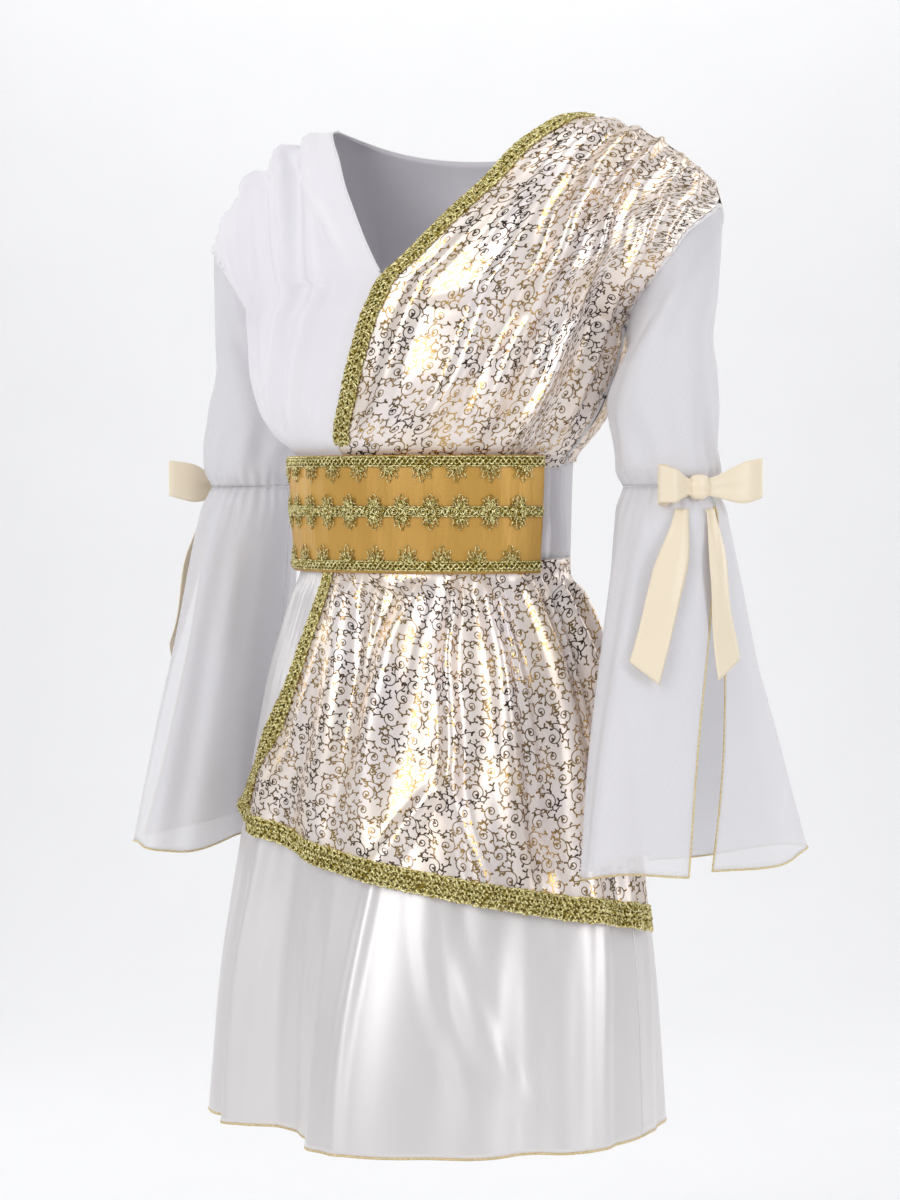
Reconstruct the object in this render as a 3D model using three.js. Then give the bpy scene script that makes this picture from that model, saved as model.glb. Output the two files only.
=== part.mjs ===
// A child's Greek goddess costume dress, worn form, in millimetres.
// +Z is up, the front faces -Y, and +X is the wearer's left.
// The origin lies between the shoulders at the height of the neck points.
import * as THREE from 'three';

// driving sizes
const clothWall = 1.2;
const foilWall = 1.4;
const beltWall = 2.0;
const braidWall = 2.6;
const trimWall = 1.8;
const ribbonWall = 1.0;
const seamGap = 0.3;
const layGap = 0.6;
const shoulderGap = 1.2;
const waistHeight = -320;
const hemHeight = -738;
const beltTop = -246;
const beltBottom = -331;
const beltReach = 70;
const elbowHeight = -268;
const sideBraidWidth = 14;
const hemBraidWidth = 17;
const ribbonWidth = 24;
const braidGap = 0.4;
const seamTurn = 0.15;
const beltGap = 3.3;
const beltBulge = 3.6;
const overskirtHang = 3.5;
const overskirtSeam = 0.8;
const gatherPitch = 2;

// Torso sections from the waist seam (level 0) to the shoulder seam (level 1).
// halfRight and halfLeft are half widths, front and back are depths.
// drape is how far a section follows the slope of the shoulders.
const torsoSections = [
  { level: 0.0, z: -320, halfRight: 105, halfLeft: 105, front: 84, back: 84, midX: -8, midY: -3, drape: 0 },
  { level: 0.24, z: -248, halfRight: 107, halfLeft: 107, front: 87, back: 87, midX: -8, midY: -3, drape: 0 },
  { level: 0.3, z: -233, halfRight: 121, halfLeft: 118, front: 97, back: 92, midX: -8, midY: -3, drape: 0 },
  { level: 0.36, z: -212, halfRight: 134, halfLeft: 130, front: 104, back: 96, midX: -6, midY: -2, drape: 0 },
  { level: 0.44, z: -185, halfRight: 143, halfLeft: 140, front: 107, back: 98, midX: -4, midY: -1, drape: 0 },
  { level: 0.54, z: -150, halfRight: 149, halfLeft: 147, front: 107, back: 100, midX: -2, midY: 0, drape: 0 },
  { level: 0.575, z: -137, halfRight: 154, halfLeft: 160, front: 105, back: 100, midX: -1, midY: 0, drape: 0.05 },
  { level: 0.64, z: -112, halfRight: 172, halfLeft: 191, front: 103, back: 98, midX: 0, midY: 0, drape: 0.15 },
  { level: 0.74, z: -76, halfRight: 192, halfLeft: 208, front: 93, back: 92, midX: 2, midY: 2, drape: 0.4 },
  { level: 0.84, z: -44, halfRight: 203, halfLeft: 213, front: 76, back: 78, midX: 3, midY: 4, drape: 0.65 },
  { level: 0.92, z: -19, halfRight: 206, halfLeft: 211, front: 52, back: 55, midX: 4, midY: 6, drape: 0.85 },
  { level: 0.97, z: -5, halfRight: 206, halfLeft: 208, front: 28, back: 30, midX: 4, midY: 7, drape: 0.95 },
  { level: 1.0, z: 0, halfRight: 205, halfLeft: 206, front: 0.5, back: 0.5, midX: 4, midY: 8, drape: 1 },
];
const neckPoint = 95;
const slopeRight = 0.0066;
const slopeLeft = 0.004;

// Armhole edges, as degrees from the front centre, by level.
const underarmLevel = 0.54;
const armholeRight = [
  { level: 0.0, turn: 90 }, { level: 0.54, turn: 90 }, { level: 0.58, turn: 84 },
  { level: 0.66, turn: 76 }, { level: 0.76, turn: 74 }, { level: 0.86, turn: 78 },
  { level: 0.92, turn: 86.5 }, { level: 0.97, turn: 89.4 }, { level: 1.0, turn: 89.8 },
];
const armholeLeft = [
  { level: 0.0, turn: 90 }, { level: 0.54, turn: 90 }, { level: 0.575, turn: 82 },
  { level: 0.64, turn: 73 }, { level: 0.74, turn: 72 }, { level: 0.84, turn: 77 },
  { level: 0.92, turn: 86.5 }, { level: 0.97, turn: 89.4 }, { level: 1.0, turn: 89.8 },
];

// Neck edge of the right front and the edge of the sash, by level.
const neckEdgeRight = [
  { level: 0.62, turn: 1.5 }, { level: 0.708, turn: -5.8 }, { level: 0.8, turn: -12 },
  { level: 0.88, turn: -17.5 }, { level: 0.95, turn: -24 }, { level: 1.0, turn: -29.2 },
];
const sashEdge = [
  { level: 0.0, turn: -16 }, { level: 0.27, turn: -15.5 }, { level: 0.375, turn: -10 },
  { level: 0.463, turn: -6.8 }, { level: 0.544, turn: -3.7 }, { level: 0.609, turn: 0 },
  { level: 0.659, turn: 6 }, { level: 0.745, turn: 13 }, { level: 0.818, turn: 18.5 },
  { level: 0.901, turn: 22.5 }, { level: 0.956, turn: 27 }, { level: 1.0, turn: 29.4 },
];
const vLevel = 0.62;

// Heights of the rows shared by all panels of the torso.
const torsoLevels = [0, 0.24, 0.28, 0.32, 0.37, 0.43, 0.49, 0.54, 0.575, 0.62, 0.68, 0.74,
  0.8, 0.86, 0.91, 0.95, 0.98, 1];

// Folds: across and along run 0 to 1 over a panel; width is half the fold's breadth.
// start, middle and end are its depths at along 0, 0.5 and 1.
const frontRightFolds = [
  { low: 0.12, high: 0.16, width: 0.1, start: 0, middle: 3, end: 0 },
  { low: 0.3, high: 0.4, width: 0.1, start: 2, middle: 4, end: 1 },
  { low: 0.5, high: 0.6, width: 0.1, start: 3, middle: 5, end: 1 },
  { low: 0.72, high: 0.8, width: 0.09, start: 0, middle: 3, end: 1 },
];
const sashFolds = [
  { low: 0.3, high: 0.12, width: 0.09, start: 5, middle: 3, end: 1 },
  { low: 0.5, high: 0.34, width: 0.09, start: 6, middle: 5, end: 2 },
  { low: 0.68, high: 0.52, width: 0.07, start: 5, middle: 7, end: 3 },
  { low: 0.82, high: 0.7, width: 0.07, start: 4, middle: 6, end: 2 },
  { low: 0.93, high: 0.88, width: 0.06, start: 2, middle: 3, end: 1 },
];

// Skirt sections from the hem to the waist seam.
const skirtSections = [
  { z: -738, half: 171, front: 130, back: 137, midX: -4, midY: -12 },
  { z: -640, half: 166, front: 126, back: 129, midX: -4, midY: -9 },
  { z: -536, half: 153, front: 119, back: 121, midX: -4, midY: -5 },
  { z: -420, half: 134, front: 108, back: 104, midX: -5, midY: -3 },
  { z: -350, half: 111, front: 90, back: 89, midX: -7, midY: -3 },
  { z: -333, half: 105.3, front: 84.3, back: 84.3, midX: -8, midY: -3 },
  { z: -320, half: 105, front: 84, back: 84, midX: -8, midY: -3 },
];

// Hanging folds of the skirt; turn in degrees at the top and hem, top is where each starts.
const skirtFolds = [
  { turnTop: -24, turnHem: -26, width: 17, top: -400, depth: -20 },
  { turnTop: 12, turnHem: 8, width: 16, top: -420, depth: 7 },
  { turnTop: -38, turnHem: -42, width: 9, top: -340, depth: 9 },
  { turnTop: -60, turnHem: -62, width: 9, top: -340, depth: 8 },
  { turnTop: 42, turnHem: 32, width: 11, top: -420, depth: 7 },
  { turnTop: 70, turnHem: 62, width: 12, top: -420, depth: 8 },
  { turnTop: 120, turnHem: 118, width: 13, top: -340, depth: 9 },
  { turnTop: 165, turnHem: 160, width: 14, top: -340, depth: 10 },
  { turnTop: 208, turnHem: 212, width: 14, top: -340, depth: 10 },
  { turnTop: 246, turnHem: 250, width: 11, top: -340, depth: 8 },
];
// The deep fold of the skirt front: the cloth steps out between two turns.
const stepFold = { turnHem: -10, width: 8, top: -470, depth: 20, fade: 60 };

// Overskirt: its left edge by height, and its hem by share of its breadth.
const overskirtReach = 100;
const sideBraidTurn = 5.9;
const overskirtSide = [
  { z: -508, turn: -60 }, { z: -489, turn: -53 }, { z: -456, turn: -42.5 },
  { z: -422, turn: -35.5 }, { z: -394, turn: -31 }, { z: -356, turn: -29 },
  { z: -320, turn: -28.5 },
];
const overskirtHem = [
  { share: 0.0, z: -508 }, { share: 0.05, z: -517 }, { share: 0.18, z: -529 },
  { share: 0.34, z: -544 }, { share: 0.52, z: -559 }, { share: 0.7, z: -573 },
  { share: 0.82, z: -581 }, { share: 1.0, z: -594 },
];
const overskirtFolds = [
  { share: 0.07, drift: 0.02, widthTop: 0.05, widthHem: 0.07, top: 3, middle: 6, hem: 9 },
  { share: 0.16, drift: 0.0, widthTop: 0.05, widthHem: 0.07, top: 4, middle: 8, hem: 6 },
  { share: 0.26, drift: 0.0, widthTop: 0.05, widthHem: 0.06, top: 4, middle: 5, hem: 3 },
  { share: 0.36, drift: 0.02, widthTop: 0.05, widthHem: 0.07, top: 5, middle: 11, hem: 8 },
  { share: 0.46, drift: 0.02, widthTop: 0.05, widthHem: 0.06, top: 4, middle: 4, hem: 3 },
  { share: 0.56, drift: 0.03, widthTop: 0.05, widthHem: 0.07, top: 5, middle: 9, hem: 9 },
  { share: 0.66, drift: 0.03, widthTop: 0.05, widthHem: 0.06, top: 5, middle: 5, hem: 4 },
  { share: 0.77, drift: 0.02, widthTop: 0.05, widthHem: 0.07, top: 8, middle: 9, hem: 7 },
  { share: 0.89, drift: 0.01, widthTop: 0.06, widthHem: 0.06, top: 10, middle: 8, hem: 4 },
];

// Upper sleeve sections below the armhole, with X measured outwards on both arms.
const sleeveLeft = [
  { z: -268, midX: 181, midY: 0, across: 32, along: 36 },
  { z: -257, midX: 180, midY: 0, across: 37, along: 42 },
  { z: -238, midX: 178, midY: 0, across: 36, along: 41 },
  { z: -212, midX: 176, midY: 0, across: 38, along: 43 },
  { z: -185, midX: 179, midY: 0, across: 34, along: 42 },
  { z: -156, midX: 181, midY: 1, across: 28, along: 40 },
  { z: -120, midX: 186, midY: 2, across: 28, along: 36 },
  { z: -80, midX: 188, midY: 4, across: 24, along: 30 },
];
const sleeveRight = [
  { z: -268, midX: 180, midY: 18, across: 31, along: 34 },
  { z: -257, midX: 181, midY: 18, across: 35, along: 38 },
  { z: -238, midX: 181, midY: 20, across: 34, along: 39 },
  { z: -212, midX: 181, midY: 25, across: 34, along: 39 },
  { z: -185, midX: 180, midY: 26, across: 29, along: 38 },
  { z: -156, midX: 181, midY: 20, across: 25, along: 36 },
  { z: -120, midX: 180, midY: 12, across: 24, along: 32 },
  { z: -80, midX: 182, midY: 6, across: 22, along: 30 },
];
// Bell sections from hem to elbow; tilt turns the long axis, in degrees.
const bellLeft = [
  { level: 0.0, z: -537, midX: 208, midY: -12, across: 41, along: 120, tilt: 14 },
  { level: 0.3, z: -457, midX: 199, midY: -8, across: 42, along: 100, tilt: 12 },
  { level: 0.6, z: -375, midX: 191, midY: -4, across: 41, along: 76, tilt: 8 },
  { level: 0.92, z: -288, midX: 183, midY: 0, across: 39, along: 46, tilt: 2 },
  { level: 1.0, z: -268.6, midX: 181, midY: 0, across: 32, along: 36, tilt: 0 },
];
const bellRight = [
  { level: 0.0, z: -537, midX: 206, midY: -10, across: 41, along: 120, tilt: 14 },
  { level: 0.3, z: -457, midX: 198, midY: 0, across: 40, along: 98, tilt: 12 },
  { level: 0.6, z: -375, midX: 190, midY: 9, across: 37, along: 72, tilt: 8 },
  { level: 0.92, z: -288, midX: 182, midY: 16, across: 36, along: 44, tilt: 2 },
  { level: 1.0, z: -268.6, midX: 180, midY: 18, across: 31, along: 34, tilt: 0 },
];
// Turns where the bell is open along the outer arm.
const bellOpening = [
  { level: 0.0, frontTurn: 62, backTurn: 74 }, { level: 0.35, frontTurn: 66, backTurn: 84 },
  { level: 0.7, frontTurn: 74, backTurn: 88 }, { level: 0.9, frontTurn: 80, backTurn: 84 },
  { level: 1.0, frontTurn: 81, backTurn: 83 },
];
const bellWaves = 7;
const bellWaveDepth = 4;

// Bows: toward points from the arm out through the knot, and big is the side of the large loop.
const bows = [
  { name: 'left', sections: 'left', towardX: 0.825, towardY: -0.565, big: 1, seat: 8.1, tails: [40, 72] },
  { name: 'right', sections: 'right', towardX: 0.88, towardY: 0.475, big: -1, seat: 7.1, tails: [88, 122] },
];
const knotSize = { out: 5, along: 8, up: 9 };
const loopSizes = {
  big: 46, small: 26, thick: 12, tall: 26, pinch: 0.3, pinchTall: 0.45, ends: 1.3, gap: 0.1, rise: 3,
};
const tailLength = 112;
const tailSeat = 1.1;

// Fans of the belt trims: pitch, half breadth and height of one fan.
const beltTrims = [
  { name: 'belt_trim_top', low: -254.5, high: -246.6, pitch: 24, up: 0, down: 12 },
  { name: 'belt_trim_middle', low: -290.5, high: -282.5, pitch: 21, up: 9, down: 10 },
  { name: 'belt_trim_bottom', low: -329.5, high: -322, pitch: 25, up: 12, down: 0 },
];
const fanShape = [
  { at: -0.5, size: 0 }, { at: -0.32, size: 0.1 }, { at: -0.25, size: 0.75 },
  { at: 0, size: 1 }, { at: 0.25, size: 0.75 }, { at: 0.32, size: 0.1 },
];

const radians = Math.PI / 180;
const clamp = (value, low, high) => Math.min(high, Math.max(low, value));
const mix = (from, to, share) => from + (to - from) * share;
const soften = (share) => {
  const s = clamp(share, 0, 1);
  return s * s * (3 - 2 * s);
};
const bump = (offset) => {
  const s = clamp(1 - offset * offset, 0, 1);
  return s * s;
};

// A smooth curve through one column of a table, without overshoot.
function read(table, column, key, at) {
  const last = table.length - 1;
  const step = table[last][key] > table[0][key] ? 1 : -1;
  let spot = 0;
  while (spot < last - 1 && (at - table[spot + 1][key]) * step > 0) spot += 1;
  const slope = (k) => (table[k + 1][column] - table[k][column]) / (table[k + 1][key] - table[k][key]);
  const tangent = (k) => {
    if (k === 0) return slope(0);
    if (k === last) return slope(last - 1);
    const before = slope(k - 1);
    const after = slope(k);
    return before * after <= 0 ? 0 : (2 * before * after) / (before + after);
  };
  const width = table[spot + 1][key] - table[spot][key];
  const s = clamp((at - table[spot][key]) / width, 0, 1);
  const rise = s * s * (3 - 2 * s);
  return mix(table[spot][column], table[spot + 1][column], rise)
    + width * tangent(spot) * s * (1 - s) * (1 - s) - width * tangent(spot + 1) * s * s * (1 - s);
}

const vector = (x, y, z) => new THREE.Vector3(x, y, z);

// A point of the torso at a turn in degrees and a level from waist to shoulder.
function torso(turn, level) {
  const sine = Math.sin(turn * radians);
  const cosine = Math.cos(turn * radians);
  const half = read(torsoSections, sine < 0 ? 'halfRight' : 'halfLeft', 'level', level);
  const depth = read(torsoSections, cosine > 0 ? 'front' : 'back', 'level', level);
  const x = read(torsoSections, 'midX', 'level', level) + half * sine;
  const apart = shoulderGap * soften((level - 0.9) / 0.07) * (cosine > 0 ? -1 : 1);
  const y = read(torsoSections, 'midY', 'level', level) - depth * cosine + apart;
  const past = Math.max(0, Math.abs(x) - neckPoint);
  const slope = x < 0 ? slopeRight : slopeLeft;
  const z = read(torsoSections, 'z', 'level', level);
  return vector(x, y, z - read(torsoSections, 'drape', 'level', level) * slope * past * past);
}

// A grid of points: rows from low to high, columns turning anticlockwise seen from above.
const gridOf = (rows, columns, point) => rows.map((row) => columns.map((column) => point(column, row)));

const evenly = (count, low = 0, high = 1) => (
  Array.from({ length: count + 1 }, (_, k) => mix(low, high, k / count))
);

// Outward directions at the points of a grid, from its neighbouring points.
function outwards(grid, closed) {
  const across = grid[0].length;
  return grid.map((row, j) => row.map((_, i) => {
    const before = closed ? (i + across - 1) % across : Math.max(0, i - 1);
    const after = closed ? (i + 1) % across : Math.min(across - 1, i + 1);
    const below = Math.max(0, j - 1);
    const above = Math.min(grid.length - 1, j + 1);
    const along = grid[j][after].clone().sub(grid[j][before]);
    const up = grid[above][i].clone().sub(grid[below][i]);
    return along.cross(up).normalize();
  }));
}

// A grid moved out along its own directions by a distance, or by one for each point.
function moved(grid, distance, closed = false) {
  const away = outwards(grid, closed);
  const size = typeof distance === 'function' ? distance : () => distance;
  return grid.map((row, j) => row.map((spot, i) => spot.clone().addScaledVector(away[j][i], size(i, j))));
}

// A closed solid between an outer and an inner grid.
function between(outer, inner, closed = false) {
  const rows = outer.length;
  const columns = outer[0].length;
  const points = [...outer.flat(), ...inner.flat()];
  const faces = [];
  const out = (j, i) => j * columns + (closed ? i % columns : i);
  const inn = (j, i) => rows * columns + out(j, i);
  const quad = (a, b, c, d) => faces.push(a, b, c, a, c, d);
  const spans = closed ? columns : columns - 1;
  for (let j = 0; j < rows - 1; j += 1) {
    for (let i = 0; i < spans; i += 1) {
      quad(out(j, i), out(j, i + 1), out(j + 1, i + 1), out(j + 1, i));
      quad(inn(j, i), inn(j + 1, i), inn(j + 1, i + 1), inn(j, i + 1));
    }
  }
  for (let i = 0; i < spans; i += 1) {
    quad(out(0, i), inn(0, i), inn(0, i + 1), out(0, i + 1));
    quad(out(rows - 1, i), out(rows - 1, i + 1), inn(rows - 1, i + 1), inn(rows - 1, i));
  }
  for (let j = 0; j < rows - 1 && !closed; j += 1) {
    const end = columns - 1;
    quad(out(j, 0), out(j + 1, 0), inn(j + 1, 0), inn(j, 0));
    quad(out(j, end), inn(j, end), inn(j + 1, end), out(j + 1, end));
  }
  const shape = new THREE.BufferGeometry();
  shape.setAttribute('position', new THREE.Float32BufferAttribute(points.flatMap((p) => [p.x, p.y, p.z]), 3));
  shape.setIndex(faces);
  return shape;
}

// A cloth wall whose outer side is the grid.
const wall = (grid, thick, closed = false) => between(grid, moved(grid, -thick, closed), closed);

// The same grid on the other side of the wearer.
const mirrored = (grid) => grid.map((row) => [...row].reverse().map((p) => vector(-p.x, p.y, p.z)));

const finishes = {
  chiffon: { color: 0xeeeaf0, roughness: 0.85, metalness: 0 },
  satin: { color: 0xebe6e6, roughness: 0.4, metalness: 0 },
  foil: { color: 0xe1d7d2, roughness: 0.35, metalness: 0.2 },
  gimp: { color: 0xaa963c, roughness: 0.4, metalness: 0.7 },
  goldSatin: { color: 0xd7aa50, roughness: 0.45, metalness: 0 },
  ribbon: { color: 0xf5ebcd, roughness: 0.4, metalness: 0 },
};
const group = new THREE.Group();
function add(name, shape, finish) {
  const mesh = new THREE.Mesh(shape, new THREE.MeshStandardMaterial(finishes[finish]));
  mesh.name = name;
  group.add(mesh);
}

// The depth of a set of folds at a place of a panel.
function foldDepth(folds, across, along) {
  return folds.reduce((sum, fold) => {
    const centre = mix(fold.low, fold.high, along);
    const depth = along < 0.5
      ? mix(fold.start, fold.middle, soften(along * 2))
      : mix(fold.middle, fold.end, soften(along * 2 - 1));
    return sum + depth * bump((across - centre) / fold.width);
  }, 0);
}

// How far folds are free of the belt, by level of the torso.
const foldStart = 0.27;
const foldRise = 0.09;
const freeOfBelt = (level) => soften((level - foldStart) / foldRise);

// Gathers: every second column of a panel stands out by a depth.
const gather = (column, depth) => (column % gatherPitch === 1 ? depth : 0);

// Depth of the gathers of the bodice: at the shoulder seam, and where the belt draws the cloth in.
const shoulderGather = { from: 0.84, depth: 1.8 };
const beltGather = { level: 0.31, reach: 0.09, depth: 1.6 };
const bodiceGather = (column, level) => (
  gather(column, shoulderGather.depth) * soften((level - shoulderGather.from) / (1 - shoulderGather.from))
  + gather(column, beltGather.depth) * soften(1 - Math.abs(level - beltGather.level) / beltGather.reach)
);

// Turn that spans a length along the torso at a level.
const turnFor = (length, turn, level) => {
  const step = torso(turn + 1, level).distanceTo(torso(turn, level));
  return length / Math.max(step, 0.4);
};

// Edges of the front panels by level.
const sideRight = (level) => -read(armholeRight, 'turn', 'level', level);
const sideLeft = (level) => read(armholeLeft, 'turn', 'level', level);
const sashStart = (level) => read(sashEdge, 'turn', 'level', level);
const sashInner = (level) => sashStart(level) + turnFor(sideBraidWidth, sashStart(level), level);

const frontRightEnd = (level) => {
  const neck = read(neckEdgeRight, 'turn', 'level', level);
  const under = sashInner(level) - turnFor(seamGap, sashInner(level), level);
  return level <= vLevel ? under : Math.min(neck, under);
};
const frontRightColumns = 14;
const frontRightFlat = gridOf(torsoLevels, evenly(frontRightColumns), (share, level) => (
  torso(mix(sideRight(level) + seamTurn, frontRightEnd(level), share), level)
));
// The folds die out beside the sash, which lies on the panel's inner edge.
const quiet = { level: 0.7, share: 0.7, fade: 0.2 };
add('bodice_front_right', wall(moved(frontRightFlat, (i, j) => {
  const level = torsoLevels[j];
  const share = i / frontRightColumns;
  const still = level < quiet.level ? soften((share - quiet.share) / quiet.fade) : 0;
  const out = foldDepth(frontRightFolds, share, level) + bodiceGather(i, level);
  return out * freeOfBelt(level) * (1 - still);
}), clothWall), 'chiffon');

// The sash shares its columns with the left front; its first column is the braid's edge.
const sashColumns = [0, ...evenly(18)];
const leftFront = (share, level) => {
  const turn = mix(sashInner(level), sideLeft(level) - seamTurn, share);
  return torso(turn, level);
};
// Under the end of the belt the sash's lower edge climbs to the waist.
const sashFoot = { share: 0.62, climb: 0.16, level: 0.215, free: 0.24 };
const sashFlat = torsoLevels.map((row) => sashColumns.map((share, i) => {
  const foot = sashFoot.level * soften((share - sashFoot.share) / sashFoot.climb);
  const level = row < sashFoot.free ? mix(foot, sashFoot.free, row / sashFoot.free) : row;
  return i === 0 ? torso(sashStart(level), level) : leftFront(share, level);
}));
// The left front has every second of those columns, because the sash hides most of it.
const frontLeftShares = sashColumns.filter((_, i) => i % 2 === 1);
const frontLeftFlat = gridOf(torsoLevels, frontLeftShares, leftFront);
add('bodice_front_left', wall(frontLeftFlat, clothWall), 'chiffon');

const sashBase = moved(sashFlat, layGap + foilWall);
const sashOuter = moved(sashBase, (i, j) => {
  const level = torsoLevels[j];
  const small = i > 1 ? bodiceGather(i, level) : 0;
  return (foldDepth(sashFolds, sashColumns[i], level) + small) * freeOfBelt(level);
});
add('sash', wall(sashOuter, foilWall), 'foil');

// A strip on the outer side of a grid, over the given rows and columns.
function strip(grid, rows, columns, gap, thick) {
  const onto = moved(grid, gap);
  const cut = (layer) => rows.map((j) => columns.map((i) => layer[j][i]));
  return between(cut(moved(onto, thick)), cut(onto));
}
const sashBraidRows = torsoLevels.map((_, j) => j).filter((j) => torsoLevels[j] > foldStart);
add('sash_braid', strip(sashOuter, sashBraidRows, [0, 1], braidGap, braidWall), 'gimp');

const backNeck = { left: 116, right: -95, dip: 0.09 };
const backTop = (x) => {
  const middle = (backNeck.left + backNeck.right) / 2;
  const reach = (backNeck.left - backNeck.right) / 2;
  return 1 - backNeck.dip * Math.sqrt(Math.max(0, 1 - ((x - middle) / reach) ** 2));
};
const backColumns = evenly(16);
const backFlat = torsoLevels.map((level) => backColumns.map((share) => {
  const turnOf = (at) => mix(180 - sideLeft(at) + seamTurn, 180 - sideRight(at) - seamTurn, share);
  const top = backTop(torso(turnOf(level), level).x);
  return torso(turnOf(level), level * mix(1, top, soften((level - 0.5) / 0.5)));
}));
const sashBackColumns = [0, 1, 2, 3, 4];
const backOuter = moved(backFlat, (i, j) => {
  const free = i > sashBackColumns.length && i < backColumns.length - 1;
  return free ? bodiceGather(i, torsoLevels[j]) * freeOfBelt(torsoLevels[j]) : 0;
});
add('bodice_back', wall(backOuter, clothWall), 'chiffon');
const sashBackFlat = backFlat.map((row) => sashBackColumns.map((i) => row[i]));
// It ends at the waist, one row above the seam.
const sashBackRows = torsoLevels.map((_, j) => j).slice(1);
add('sash_back', strip(sashBackFlat, sashBackRows, sashBackColumns, layGap, foilWall), 'foil');

function skirtPoint(turn, z) {
  const sine = Math.sin(turn * radians);
  const cosine = Math.cos(turn * radians);
  const depth = read(skirtSections, cosine > 0 ? 'front' : 'back', 'z', z);
  const fall = (top) => clamp((top - z) / (top - hemHeight), 0, 1);
  const around = (offset) => ((offset + 540) % 360) - 180;
  let out = skirtFolds.reduce((sum, fold) => {
    const down = fall(fold.top);
    const centre = mix(fold.turnTop, fold.turnHem, down);
    return sum + fold.depth * down * bump(around(turn - centre) / (fold.width * mix(0.7, 1.2, down)));
  }, 0);
  const rise = soften((around(turn - stepFold.turnHem) + stepFold.width / 2) / stepFold.width);
  const settle = 1 - soften((around(turn - stepFold.turnHem) - stepFold.width) / stepFold.fade);
  out += stepFold.depth * soften(fall(stepFold.top)) * rise * settle;
  const x = read(skirtSections, 'midX', 'z', z) + (read(skirtSections, 'half', 'z', z) + out) * sine;
  const y = read(skirtSections, 'midY', 'z', z) - (depth + out) * cosine;
  return vector(x, y, z);
}
const skirtTop = waistHeight - seamGap;
const skirtRows = [-738, -700, -650, -595, -540, -485, -430, -385, -352, -333, skirtTop];
const stepTurns = [-18, -16, -14, -12, -10, -8, -6, -4, -2];
const frontTurns = [
  ...evenly(14, -90 + seamTurn, -21), ...stepTurns, ...evenly(18, 1, 90 - seamTurn),
];

// Gathers below the waist seam, on the stretches that the overskirt leaves free.
const waistGather = { top: -333, reach: 90, depth: 2.2, from: -36 };
const waistGathers = (grid, turns) => moved(grid, (i, j) => {
  const down = clamp((waistGather.top - grid[j][i].z) / waistGather.reach, 0, 1);
  const free = turns[i] < waistGather.from || turns[i] > overskirtReach + 4;
  return free ? gather(i, waistGather.depth) * bump(2 * down - 1) : 0;
});
const skirtPanel = (rows, turns) => wall(waistGathers(gridOf(rows, turns, skirtPoint), turns), clothWall);
add('skirt_front', skirtPanel(skirtRows, frontTurns), 'satin');
const backTurns = evenly(26, 90 + seamTurn, 270 - seamTurn);
const skirtBackRows = [-738, -690, -630, -560, -480, -430, -385, -352, -333, skirtTop];
add('skirt_back', skirtPanel(skirtBackRows, backTurns), 'satin');

const overTop = skirtTop - overskirtSeam;
function overskirtFold(share, down) {
  return overskirtFolds.reduce((sum, fold) => {
    const centre = fold.share + fold.drift * down;
    const width = mix(fold.widthTop, fold.widthHem, down);
    const depth = down < 0.5
      ? mix(fold.top, fold.middle, soften(down * 2))
      : mix(fold.middle, fold.hem, soften(down * 2 - 1));
    return sum + depth * bump((share - centre) / width);
  }, 0);
}
const overColumns = [0, ...evenly(44)];
const overUpper = [-350, -341, -333, overTop];
const overLower = evenly(8);
const cornerTurn = overskirtSide[0].turn;
const sideTop = overskirtSide[overskirtSide.length - 1].turn;
const overFlat = [-1, ...overLower, ...overUpper].map((row) => overColumns.map((share, i) => {
  const hemAt = (turn) => read(overskirtHem, 'z', 'share', (turn - cornerTurn) / (overskirtReach - cornerTurn));
  const heightAt = (turn) => {
    if (row < -1) return row;
    return row === -1 ? hemAt(turn) : mix(hemAt(turn) + hemBraidWidth, -363, row);
  };
  let z = heightAt(mix(cornerTurn, overskirtReach, share));
  let turn = cornerTurn;
  for (let pass = 0; pass < 4; pass += 1) {
    const first = read(overskirtSide, 'turn', 'z', z);
    const spread = (first - sideTop) * (1 - share) ** 2.5;
    turn = i === 0 ? first : mix(sideTop + sideBraidTurn, overskirtReach, share) + spread;
    z = heightAt(turn);
  }
  return { turn, z, hem: hemAt(turn) };
}));
const overBase = overFlat.map((row) => row.map((spot) => skirtPoint(spot.turn, spot.z)));
const overFree = (z) => soften((beltBottom + 1 - z) / 22);
const overGather = { depth: 2.4, reach: 80 };
const overOuter = moved(overBase, (i, j) => {
  const spot = overFlat[j][i];
  const down = clamp((overTop - spot.z) / (overTop - spot.hem), 0, 1);
  const rest = layGap + foilWall + overskirtHang * soften((beltBottom - spot.z) / 60);
  const small = i > 1 ? gather(i, overGather.depth) * soften(1 - (beltBottom - spot.z) / overGather.reach) : 0;
  return rest + (overskirtFold(overColumns[i], down) + small) * overFree(spot.z);
});
add('overskirt', wall(overOuter, foilWall), 'foil');
const overLast = overFlat.length - 1;
const sideBraidRows = overFlat.map((_, j) => j).filter((j) => j >= 1 && j < overLast);
const allColumns = overColumns.map((_, i) => i);
add('overskirt_hem_braid', strip(overOuter, [0, 1], allColumns, braidGap, braidWall), 'gimp');

// The side braid stops just above the hem braid and just below the belt.
const braidCut = 0.06;
function sideBraid() {
  const low = moved(overOuter, braidGap);
  const high = moved(low, braidWall);
  const cut = (layer) => {
    const rows = sideBraidRows.map((j) => [layer[j][0].clone(), layer[j][1].clone()]);
    [0, 1].forEach((i) => rows[0][i].lerp(layer[2][i], braidCut));
    return rows;
  };
  return between(cut(high), cut(low));
}
add('overskirt_side_braid', sideBraid(), 'gimp');

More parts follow.
